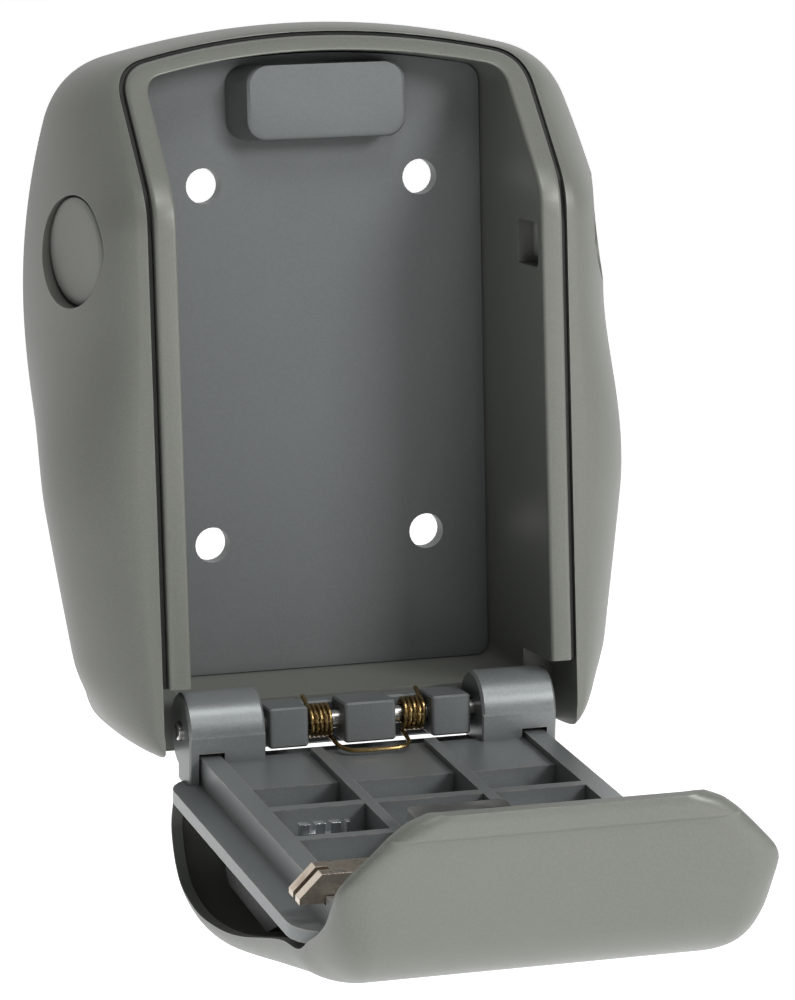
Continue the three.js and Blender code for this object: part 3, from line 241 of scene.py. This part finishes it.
def smooth(obj, angle=32.0):
    """Smooth faces, with edges sharper than the angle kept crisp."""
    bm = bmesh.new()
    bm.from_mesh(obj.data)
    for face in bm.faces:
        face.smooth = True
    limit = math.radians(angle)
    for edge in bm.edges:
        edge.smooth = len(edge.link_faces) == 2 and edge.calc_face_angle(0.0) < limit
    bm.to_mesh(obj.data)
    bm.free()


def soften(obj, width, segments=3, angle=35.0):
    """Rounds every edge sharper than the angle."""
    made = obj.modifiers.new("edges", "BEVEL")
    made.width = width
    made.segments = segments
    made.limit_method = "ANGLE"
    made.angle_limit = math.radians(angle)
    made.use_clamp_overlap = True
    made.harden_normals = True


def dress(obj, slot, body):
    """Gives a piece its material and the body that it moves with."""
    obj.data.materials.clear()
    obj.data.materials.append(MATERIALS[slot])
    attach(obj, body)


def bake(obj):
    """Turns an object's modifiers into its mesh."""
    graph = bpy.context.evaluated_depsgraph_get()
    fresh = bpy.data.meshes.new_from_object(obj.evaluated_get(graph))
    obj.modifiers.clear()
    obj.data = fresh


def carve(obj, cutters):
    """Cuts the cutters out of a piece and removes them."""
    for cutter in cutters:
        made = obj.modifiers.new("carve", "BOOLEAN")
        made.operation = "DIFFERENCE"
        made.solver = "EXACT"
        made.object = cutter
    bpy.context.view_layer.update()
    bake(obj)
    for cutter in cutters:
        bpy.data.objects.remove(cutter)


def refined(node, slot, body, width):
    """A finer copy of a CAD solid: joined facets, rounded edges, smooth curved faces."""
    bm = bmesh.new()
    bm.from_mesh(NODES[node].data)
    bmesh.ops.remove_doubles(bm, verts=bm.verts, dist=0.002 * MM)
    bmesh.ops.dissolve_limit(bm, angle_limit=math.radians(0.6), verts=bm.verts, edges=bm.edges)
    obj = mesh_object("fine_" + node, bm)
    smooth(obj)
    if width:
        soften(obj, width)
    dress(obj, slot, body)
    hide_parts(node)
    return obj


def close_gap(obj, gap):
    """Spreads a plate so that its edge meets the walls around it. Its holes stay where they are."""
    side, top, bottom = 30 * MM, 55 * MM, -45 * MM
    for v in obj.data.vertices:
        if abs(v.co.x) > side:
            v.co.x += math.copysign(gap, v.co.x)
        if v.co.z > top or v.co.z < bottom:
            v.co.z += math.copysign(gap, v.co.z)


def slab(lo, hi):
    """A plain block used to carve with."""
    bm = bmesh.new()
    bmesh.ops.create_cube(bm, size=1.0)
    size = Vector(hi) - Vector(lo)
    for v in bm.verts:
        v.co = Vector(lo) + Vector((size[i] * (v.co[i] + 0.5) for i in range(3)))
    return mesh_object("carver", bm)


def loft(name, rings, closed, caps=()):
    """Joins rings of equal length by quads. Each cap is four places on a ring that close both ends."""
    bm = bmesh.new()
    rows = [[bm.verts.new(p) for p in ring] for ring in rings]
    n = len(rings[0])
    last = len(rows) if closed else len(rows) - 1
    for j in range(last):
        a, b = rows[j], rows[(j + 1) % len(rows)]
        for i in range(n):
            k = (i + 1) % n
            bm.faces.new((a[i], a[k], b[k], b[i]))
    for p, q, r, s in caps:
        bm.faces.new([rows[0][i] for i in (s, r, q, p)])
        bm.faces.new([rows[-1][i] for i in (p, q, r, s)])
    bmesh.ops.recalc_face_normals(bm, faces=bm.faces)
    return mesh_object(name, bm)


def tube(name, points, radius, sides=10):
    """A round wire along points."""
    curve = bpy.data.curves.new(name, "CURVE")
    curve.dimensions = "3D"
    spline = curve.splines.new("POLY")
    spline.points.add(len(points) - 1)
    for place, point in zip(spline.points, points):
        place.co = (*point, 1.0)
    curve.bevel_depth = radius
    curve.bevel_resolution = sides // 2 - 2
    curve.use_fill_caps = True
    holder = bpy.data.objects.new(name + "_curve", curve)
    bpy.context.scene.collection.objects.link(holder)
    graph = bpy.context.evaluated_depsgraph_get()
    mesh = bpy.data.meshes.new_from_object(holder.evaluated_get(graph))
    bpy.data.objects.remove(holder)
    made = bpy.data.objects.new(name, mesh)
    bpy.context.scene.collection.objects.link(made)
    smooth(made)
    return made


def between(a, b, c, d, t):
    """One coordinate of a smooth path at t from b to c."""
    straight = 2 * b + (c - a) * t
    return 0.5 * (straight + (2 * a - 5 * b + 4 * c - d) * t * t + (3 * b - a - 3 * c + d) * t ** 3)


def catmull(points, per_span):
    """A smooth path through points, tuples of any length."""
    path = []
    count = len(points)
    for i in range(count - 1):
        p0 = points[max(i - 1, 0)]
        p1 = points[i]
        p2 = points[i + 1]
        p3 = points[min(i + 2, count - 1)]
        for j in range(per_span):
            t = j / per_span
            path.append(tuple(between(a, b, c, d, t) for a, b, c, d in zip(p0, p1, p2, p3)))
    path.append(tuple(points[-1]))
    return path


def mix(a, b, t):
    """The value at t on the way from a to b."""
    return a + (b - a) * t


def step(low, high, x):
    """Rises smoothly from 0 at low to 1 at high."""
    t = min(1.0, max(0.0, (x - low) / (high - low)))
    return t * t * (3 - 2 * t)


# ------------------------------------------------------------------ case shell
# Lengths are millimetres, in the same outline formulas as the CAD case.
CASE = {
    "top": 74.8, "bottom": -67.0, "half": 59.2, "widest": 21.0, "crown": 0.0031, "belly": 4.5, "corner": 9.0,
    "narrowing_up": 0.004, "narrowing_down": 0.1756, "waist_bend": 25,
    "rim": 39.8, "lean": 0.024, "set_z": 66.0, "set_depth": 15.5, "knee": 4.0,
    "mouth": 36.8, "mouth_top": 69.6, "mouth_floor": -58.4, "lip": 4.6, "groove": 1.1, "lip_round": 0.9,
    "skin_rise": 3.7, "skin_corner": 6.0, "roof_corner": 3.5, "floor_corner": 3.0,
    "back": 35.4, "back_top": 68.8, "back_floor": -56.2, "plate": 4.0,
}
# Points on each stretch of half an outline, from the middle of the floor to the middle of the roof.
STRETCH = {"floor": 8, "low_corner": 12, "side": 48, "high_corner": 14, "roof": 12}
# Depths at which the outer skin has a ring, from the wall (0) to its front edge (1).
SKIN_RINGS = (0, 0.02, 0.06, 0.12, 0.19, 0.27, 0.35, 0.43, 0.51, 0.59, 0.66, 0.73, 0.79, 0.84,
              0.885, 0.92, 0.945, 0.963, 0.976, 0.985, 0.99)
PLUG = {"radius": 10.7, "turn": 0.28, "sides": 72,
        "pocket_radius": 11.0, "pocket_length": 18, "pocket_out": 7.2}
BOLT_POCKET = {"from_pin": 92.5, "half_height": 4.5, "inner": 33.8, "outer": 41.0, "front": 3.4, "back": 8.4,
               "round": 1.4}


def wall_half(z):
    """Half the case's width at the wall, at height z."""
    if z > CASE["widest"]:
        return CASE["half"] - CASE["narrowing_up"] * (z - CASE["widest"]) ** 2
    bend = CASE["waist_bend"]
    return CASE["half"] - CASE["narrowing_down"] * (math.hypot(z - CASE["widest"], bend) - bend)


def half_ring(half, top, bottom, r_top, r_bottom):
    """The right half of an outline with a crowned roof, as (x, z). half(z) is its half width at z."""
    crown = CASE["crown"]
    corner = top
    for _ in range(6):
        corner = top - crown * half(corner) ** 2
    points = []
    xb = half(bottom) - r_bottom
    for i in range(STRETCH["floor"]):
        points.append((mix(0, xb, i / STRETCH["floor"]), bottom))

    def bend(p, c, q, n):
        for i in range(n):
            t = i / n
            w = ((1 - t) ** 2, 2 * t * (1 - t), t * t)
            points.append(tuple(w[0] * p[k] + w[1] * c[k] + w[2] * q[k] for k in (0, 1)))

    zb = bottom + r_bottom
    zt = corner - r_top
    bend((xb, bottom), (half(bottom), bottom), (half(zb), zb), STRETCH["low_corner"])
    for i in range(STRETCH["side"]):
        z = mix(zb, zt, i / STRETCH["side"])
        points.append((half(z), z))
    xt = half(corner) - r_top
    bend((half(zt), zt), (half(corner), corner), (xt, top - crown * xt * xt), STRETCH["high_corner"])
    for i in range(STRETCH["roof"] + 1):
        x = mix(xt, 0, i / STRETCH["roof"])
        points.append((x, top - crown * x * x))
    return points


def full_ring(*spec):
    right = half_ring(*spec)
    return right + [(-x, z) for x, z in reversed(right[1:-1])]


def rim_depth(z):
    """How far the mouth's rim stands from the wall at height z: nearly even, then less at the top."""
    straight = CASE["rim"] - CASE["lean"] * z
    sloped = CASE["set_depth"] + CASE["set_z"] - z
    knee = CASE["knee"]
    h = min(1.0, max(0.0, 0.5 + (sloped - straight) / (2 * knee)))
    return mix(sloped, straight, h) - knee * h * (1 - h)


def flank(t, z):
    """How much of the outline at the wall is left at depth t. The rest is the outline round the mouth."""
    power = mix(2.5, 1.8, step(-20, 20, z))
    return (1 - t ** power) ** (1 / power)


def case_rings():
    """Rings of the shell in metres: out from the wall, across the rim and groove, and in to the plate."""
    lip, groove, lip_round = CASE["lip"], CASE["groove"], CASE["lip_round"]
    outside, front = CASE["corner"], CASE["skin_corner"]
    roof, floor = CASE["roof_corner"], CASE["floor_corner"]
    wall = full_ring(wall_half, CASE["top"], CASE["bottom"], outside, outside)
    skin_half = CASE["mouth"] + lip + groove
    skin_top = CASE["mouth_top"] + CASE["skin_rise"]
    skin = full_ring(lambda z: skin_half, skin_top, CASE["bottom"] + 1, front, front)
    mouth = full_ring(lambda z: CASE["mouth"], CASE["mouth_top"], CASE["mouth_floor"], roof, floor)
    back = full_ring(lambda z: CASE["back"], CASE["back_top"], CASE["back_floor"], roof, floor)

    def outer(t):
        ring = []
        for (wx, wz), (sx, sz) in zip(wall, skin):
            g = flank(t, wz)
            swell = CASE["belly"] * step(20, -20, wz) * step(CASE["bottom"], CASE["bottom"] + 18, wz)
            side = step(30, 38, abs(wx)) * math.copysign(1, wx)
            x = mix(sx, wx, g) + side * swell * math.sin(math.pi * t)
            ring.append((x, -t * (rim_depth(sz) - lip_round), mix(sz, wz, g)))
        return ring

    def across(share, drop):
        ring = []
        for (sx, sz), (mx, mz) in zip(skin, mouth):
            z = mix(sz, mz, share)
            ring.append((mix(sx, mx, share), -(rim_depth(z) - drop), z))
        return ring

    def inner(share):
        ring = []
        for (bx, bz), (mx, mz) in zip(back, mouth):
            ring.append((mix(bx, mx, share), -share * (rim_depth(mz) - lip_round), mix(bz, mz, share)))
        return ring

    g = groove / (lip + groove)
    rings = [outer(t) for t in SKIN_RINGS]
    rings += [across(0, 0.95), across(0.012, 1.15), across(0.03, 3.0), across(g, 3.0), across(g + 0.02, 1.2)]
    for i in range(7):
        angle = math.radians(90 * i / 6)
        rings.append(across(g + 0.02 + 0.16 * (1 - math.cos(angle)), lip_round * (1 - math.sin(angle))))
    rings.append(across(0.6, 0))
    for i in range(6):
        angle = math.radians(90 * i / 5)
        rings.append(across(0.86 + 0.13 * math.sin(angle), 0.8 * (1 - math.cos(angle))))
    rings += [inner(s) for s in (0.97, 0.8, 0.6, 0.4, 0.2, CASE["plate"] / CASE["rim"] + 0.01, 0)]
    return [[(x * MM, y * MM, z * MM) for x, y, z in ring] for ring in rings]


def door_notch():
    """The cut in the foot of the front that the door's hinge side turns in."""
    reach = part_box("door_tray")[1].x + 0.8 * MM
    front, back = -70 * MM, -25 * MM
    bottom, top = -80 * MM, -51.5 * MM
    return slab((-reach, front, bottom), (reach, back, top))


def case_shell():
    shell = loft("case_body", case_rings(), True)
    cutters = [door_notch()]
    for side in (-1, 1):
        cutters.append(plug_cutter(side))
        cutters.append(bolt_pocket(side))
    carve(shell, cutters)
    smooth(shell, 28)
    soften(shell, 0.22 * MM, 2, 42)
    dress(shell, "case_paint", "case")
    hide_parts("case_shell")


def plug_place(side):
    """Middle and outward direction of a side plug, from its CAD box."""
    lo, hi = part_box("side_plug_left" if side < 0 else "side_plug_right")
    return (lo + hi) / 2, Vector((side * math.cos(PLUG["turn"]), -math.sin(PLUG["turn"]), 0))


def plug_cutter(side):
    """A round bar that carves the pocket a plug sits in."""
    middle, axis = plug_place(side)
    radius = PLUG["pocket_radius"] * MM
    length = PLUG["pocket_length"] * MM
    bm = bmesh.new()
    bmesh.ops.create_cone(bm, cap_ends=True, segments=PLUG["sides"],
                          radius1=radius, radius2=radius, depth=length)
    turn = axis.to_track_quat("Z", "Y").to_matrix().to_4x4()
    bm.transform(Matrix.Translation(middle + axis * PLUG["pocket_out"] * MM) @ turn)
    return mesh_object("carver", bm)


def bolt_pocket(side):
    """A block that carves the pocket that a bolt shoots into when the door is shut."""
    pocket = BOLT_POCKET
    z = PIN.z + pocket["from_pin"] * MM
    lo = Vector((pocket["inner"] * MM, PIN.y - pocket["front"] * MM, z - pocket["half_height"] * MM))
    hi = Vector((pocket["outer"] * MM, PIN.y + pocket["back"] * MM, z + pocket["half_height"] * MM))
    if side < 0:
        lo.x, hi.x = -hi.x, -lo.x
    made = slab(lo, hi)
    soften(made, pocket["round"] * MM, 4)
    bake(made)
    return made


def side_plug(side):
    """A blanking disc with a slightly dished face and a rounded edge."""
    middle, axis = plug_place(side)
    node = "side_plug_left" if side < 0 else "side_plug_right"
    bm = bmesh.new()
    sides = PLUG["sides"]
    edge = PLUG["radius"]
    profile = [(0.0, 1.38), (6.0, 1.42), (9.2, 1.5), (10.1, 1.42), (10.55, 1.1), (edge, 0.7), (edge, -1.5)]
    turn = Matrix.Translation(middle) @ axis.to_track_quat("Z", "Y").to_matrix().to_4x4()
    verts = []
    for r, h in profile:
        radius = max(r, 0.01) * MM
        row = []
        for i in range(sides):
            angle = math.tau * i / sides
            place = Vector((radius * math.cos(angle), radius * math.sin(angle), h * MM))
            row.append(bm.verts.new(turn @ place))
        verts.append(row)
    for a, b in zip(verts, verts[1:]):
        for i in range(sides):
            k = (i + 1) % sides
            bm.faces.new((a[i], b[i], b[k], a[k]))
    bm.faces.new(verts[0])
    bm.faces.new(list(reversed(verts[-1])))
    bmesh.ops.recalc_face_normals(bm, faces=bm.faces)
    plug = mesh_object("plug_" + ("left" if side < 0 else "right"), bm)
    smooth(plug)
    dress(plug, "case_paint", "case")
    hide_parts(node)


# ------------------------------------------------------------------ weather cover
COVER_HALF = 40.8
COVER_WALL = 2.2


def cover_stations():
    """Outer skin, side wall rim, half width and corner width, along the side view of the closed door."""
    h = COVER_HALF
    m = CASE["mouth"]
    return [
        (0.2, -13.4, 3.0, -13.2, h - 1, 4), (-0.2, -17.2, 3.4, -17.2, h - 0.5, 5),
        (1.0, -21.5, 5.0, -20.0, h - 0.2, 7),
        (4.5, -26.5, 8.0, -23.6, h, 9), (10, -30.8, 12.0, -26.8, h, 11), (17.5, -33.4, 18.2, -28.2, h, 12),
        (27, -34.2, 26.8, -28.4, h, 12), (38, -33, 37, -27, h, 12), (50, -30, 48.5, -24.6, h, 12),
        (63, -26.5, 61, -21, h, 12), (77, -22.7, 74.5, -16.4, h, 11), (90, -19.1, 87, -12.4, h, 10),
        (101, -16.1, 97.4, -10.4, h, 9), (109, -13.4, 104, -6.6, h, 9), (115.5, -9.8, 110, -3.2, h, 8),
        (119.8, -5, 114.6, 0.2, h, 8), (122.2, 1, 118, 4, h, 8), (123.6, 6.4, 120.6, 7.5, h - 0.1, 7),
        (124.2, 9.2, 121.5, 9.7, h - 0.9, 6), (124.5, 11.2, 121.9, 11.4, h - 2.2, 6),
        (124.8, 13.2, 122.5, 13.3, m, 6),
        (125.1, 15.2, 122.8, 15.3, m - 1.9, 6), (125.3, 17.2, 122.9, 17.3, m - 3.9, 6),
        (125.8, 17.8, 122.9, 17.9, m - 4.5, 6), (125.95, 18.9, 123, 19, m - 5.8, 6),
        (125.95, 20.6, 123.1, 20.7, m - 8.2, 6), (125.7, 22, 123.3, 22.1, m - 11.6, 5),
    ]


def cover_ring(station, wall):
    """One section of the cover: the outer skin with both side walls, then back along the inside."""
    w, v, rim_w, rim_v, half, corner = station
    span = math.hypot(rim_w - w, rim_v - v)
    height = max(span, wall)
    dw, dv = (rim_w - w) / span, (rim_v - v) / span

    def place(x, off):
        return DOOR @ Vector((x * MM, (v + dv * off) * MM, (w + dw * off) * MM))

    def side(sign, inset):
        points = []
        for i in range(15):
            angle = math.radians(90 * i / 14)
            x = half - corner + (corner - inset) * math.cos(angle)
            points.append(place(sign * x, inset + (height - inset) * (1 - math.sin(angle))))
        return points

    flat = [i / 6 for i in range(1, 6)]
    reach = half - corner

    def skin(inset):
        middle = [place(mix(-reach, reach, t), inset) for t in flat]
        return side(-1, inset) + middle + list(reversed(side(1, inset)))

    return skin(0) + list(reversed(skin(wall)))


def weather_cover():
    rings = [cover_ring(s, COVER_WALL) for s in catmull(cover_stations(), 5)]
    m = len(rings[0]) // 2
    caps = [(i, i + 1, 2 * m - 2 - i, 2 * m - 1 - i) for i in range(m - 1)]
    cover = loft("cover_shell", rings, False, caps)
    smooth(cover, 40)
    soften(cover, 0.7 * MM, 3, 50)
    dress(cover, "shutter_paint", "cover")
    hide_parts("shutter")


# ------------------------------------------------------------------ springs
SPRING = {"coil": 3.0, "wire": 0.45, "outer": 11.7, "inner": 7.5, "turns": 4, "steps_per_turn": 28}


def double_spring():
    """Two coils on the hinge pin joined by a loop in front of the middle hinge block."""
    coil, outer, inner, turns = SPRING["coil"], SPRING["outer"], SPRING["inner"], SPRING["turns"]
    y, z = PIN.y / MM, PIN.z / MM
    half = [(-outer, y + 3.4, z + coil + 1.4)]
    steps = turns * SPRING["steps_per_turn"]
    for i in range(steps + 1):
        t = i / steps
        angle = math.pi / 2 + t * (math.tau * turns + math.pi)
        half.append((-mix(outer, inner, t), y + coil * math.cos(angle), z + coil * math.sin(angle)))
    half += [(-inner + 0.2, y - 5.2, z - coil - 0.9), (-inner + 1, y - 8.2, z - coil - 1.4),
             (-inner + 3.4, y - 9.6, z - coil - 1.7)]
    path = half + [(-px, py, pz) for px, py, pz in reversed(half)]
    spring = tube("hinge_spring", [Vector(p) * MM for p in catmull(path, 3)], SPRING["wire"] * MM)
    dress(spring, "spring_wire", "case")
    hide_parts("torsion_spring")


# ------------------------------------------------------------------ pieces that keep the CAD shape, refined
def carried_over():
    """Node, material slot, body and edge radius in millimetres of each piece, and the four dials."""
    plan = [
        ("mounting_plate", "plate_paint", "case", 0.3),
        ("strike_block", "bracket_paint", "case", 0.3),
        # the rim seal is a near-black strip of painted shade where the groove's shadow falls
        ("rim_seal", "seal_rubber", "case", 0.0),
        ("hinge_bracket", "bracket_paint", "case", 0.35),
        ("hinge_pin", "steel", "case", 0.1),
        ("door_tray", "door_cast", "door", 0.3),
        ("dial_housing", "housing_plastic", "door", 0.3),
        ("dial_spindle", "steel", "door", 0.1),
        ("housing_screw_left", "steel", "door", 0.12),
        ("housing_screw_right", "steel", "door", 0.12),
        ("shutter_pin", "steel", "door", 0.1),
        ("bolt_spring_left", "steel", "door", 0.0),
        ("bolt_spring_right", "steel", "door", 0.0),
        ("release_lever", "dial_plastic", "release", 0.2),
        ("slide_stem", "steel", "release", 0.2),
        ("lock_slide", "slide_metal", "release", 0.15),
        ("bolt_left", "bolt_metal", "left_bolt", 0.3),
        ("bolt_right", "bolt_metal", "right_bolt", 0.3),
        ("code_reset_lever", "chrome", "reset", 0.15),
    ]
    for node, slot, body, width in plan:
        refined(node, slot, body, width * MM)
    close_gap(bpy.data.objects["fine_mounting_plate"], 0.4 * MM)
    for node in DIALS:
        body = node.replace("number_dial", "dial")
        wheel = refined(node, "dial_plastic", body, 0.15 * MM)
        turn_between_notches(wheel, node)
        dial_numbers(node, body)


# ------------------------------------------------------------------ dial numbers
DIGITS = 10


def turn_between_notches(wheel, node):
    """Turns a wheel half a notch, so that a number faces front rather than a notch."""
    lo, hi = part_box(node)
    centre = Matrix.Translation((lo + hi) / 2)
    wheel.data.transform(centre @ Matrix.Rotation(math.pi / DIGITS, 4, "X") @ centre.inverted())


def dial_numbers(node, body):
    """The digits 0 to 9 standing on the flats of one wheel, as one mesh."""
    lo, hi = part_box(node)
    radius = (hi.y - lo.y) / 2
    bm = bmesh.new()
    for digit in range(DIGITS):
        curve = bpy.data.curves.new("digit", "FONT")
        curve.body = str(digit)
        curve.size = 4.0 * MM
        curve.align_x = "CENTER"
        curve.align_y = "CENTER"
        curve.extrude = 0.12 * MM
        curve.bevel_depth = 0.03 * MM
        holder = bpy.data.objects.new("digit", curve)
        bpy.context.scene.collection.objects.link(holder)
        graph = bpy.context.evaluated_depsgraph_get()
        mesh = bpy.data.meshes.new_from_object(holder.evaluated_get(graph))
        bpy.data.objects.remove(holder)
        face_front = Matrix.Rotation(math.pi / 2 - math.tau * digit / DIGITS, 4, "X")
        mesh.transform(face_front @ Matrix.Translation((0, 0, radius - 0.1 * MM)))
        bm.from_mesh(mesh)
    bm.transform(Matrix.Translation((lo + hi) / 2) @ DOOR.to_3x3().to_4x4())
    numbers = mesh_object(node.replace("number_dial", "numbers_of_dial"), bm)
    numbers.data.materials.append(NUMBER_PAINT)
    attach(numbers, body)


# ------------------------------------------------------------------ stage
CAMERA = {"azimuth": 16.58, "elevation": 8.785, "roll": 1.16, "lens": 209.3,
          "place": (-249.95, -899.18, 121.39)}


def camera():
    """Stands left of and above the case, a little under a metre away, with a long lens."""
    azimuth, elevation, roll = (math.radians(CAMERA[key]) for key in ("azimuth", "elevation", "roll"))
    place = Vector(CAMERA["place"]) * MM
    forward = Vector((math.sin(azimuth) * math.cos(elevation), math.cos(azimuth) * math.cos(elevation),
                      -math.sin(elevation)))
    right = Vector((math.cos(azimuth), -math.sin(azimuth), 0))
    up = right.cross(forward)
    turned_right = math.cos(roll) * right - math.sin(roll) * up
    turned_up = math.sin(roll) * right + math.cos(roll) * up
    data = bpy.data.cameras.new("camera")
    data.lens = CAMERA["lens"]
    data.sensor_width = 36.0
    data.sensor_fit = "HORIZONTAL"
    data.clip_start = 0.05
    made = bpy.data.objects.new("camera", data)
    turn = Matrix((turned_right, turned_up, -forward)).transposed().to_4x4()
    made.matrix_world = Matrix.Translation(place) @ turn
    bpy.context.scene.collection.objects.link(made)
    bpy.context.scene.camera = made


def light(name, place, aim, size, power):
    data = bpy.data.lights.new(name, "AREA")
    data.shape = "RECTANGLE"
    data.size, data.size_y = size
    data.energy = power
    made = bpy.data.objects.new(name, data)
    made.location = place
    made.rotation_euler = (Vector(aim) - Vector(place)).to_track_quat("-Z", "Y").to_euler()
    bpy.context.scene.collection.objects.link(made)


FLOOR_Z = -0.19  # well below the hanging door


def stage():
    """A white floor, a world that is bright behind the object and dim in front, and three soft lights."""
    bm = bmesh.new()
    bmesh.ops.create_grid(bm, x_segments=2, y_segments=2, size=6.0)
    floor = mesh_object("floor", bm)
    floor.location.z = FLOOR_Z
    p = Paint("floor")
    p.put(p.shader.inputs["Base Color"], p.mix(p.noise(6.0), (0.86, 0.86, 0.86, 1), (0.90, 0.90, 0.90, 1)))
    p.shader.inputs["Roughness"].default_value = 0.9
    p.shader.inputs["Emission Color"].default_value = (1, 1, 1, 1)
    p.shader.inputs["Emission Strength"].default_value = 0.62
    floor.data.materials.append(p.material)
    world = bpy.data.worlds.new("studio")
    world.use_nodes = True
    tree = world.node_tree
    background = tree.nodes["Background"]
    background.inputs["Color"].default_value = (1, 1, 1, 1)
    split = tree.nodes.new("ShaderNodeSeparateXYZ")
    tree.links.new(tree.nodes.new("ShaderNodeTexCoord").outputs["Generated"], split.inputs["Vector"])
    dim = tree.nodes.new("ShaderNodeMapRange")
    for name, value in (("From Min", 0.05), ("From Max", 0.5), ("To Min", 0.10), ("To Max", 1.0)):
        dim.inputs[name].default_value = value
    tree.links.new(split.outputs["Y"], dim.inputs["Value"])
    tree.links.new(dim.outputs["Result"], background.inputs["Strength"])
    bpy.context.scene.world = world
    bpy.context.scene.view_settings.view_transform = "Standard"
    light("key", (0.75, -1.0, 0.55), (0, -0.03, 0), (0.4, 0.4), 12)
    light("fill", (-0.5, -1.2, -0.1), (0, -0.05, 0), (0.6, 0.6), 0.8)
    light("top", (0.1, -0.75, 1.2), (0, -0.09, 0), (0.5, 0.4), 8)


case_shell()
for side in (-1, 1):
    side_plug(side)
weather_cover()
double_spring()
carried_over()
camera()
stage()
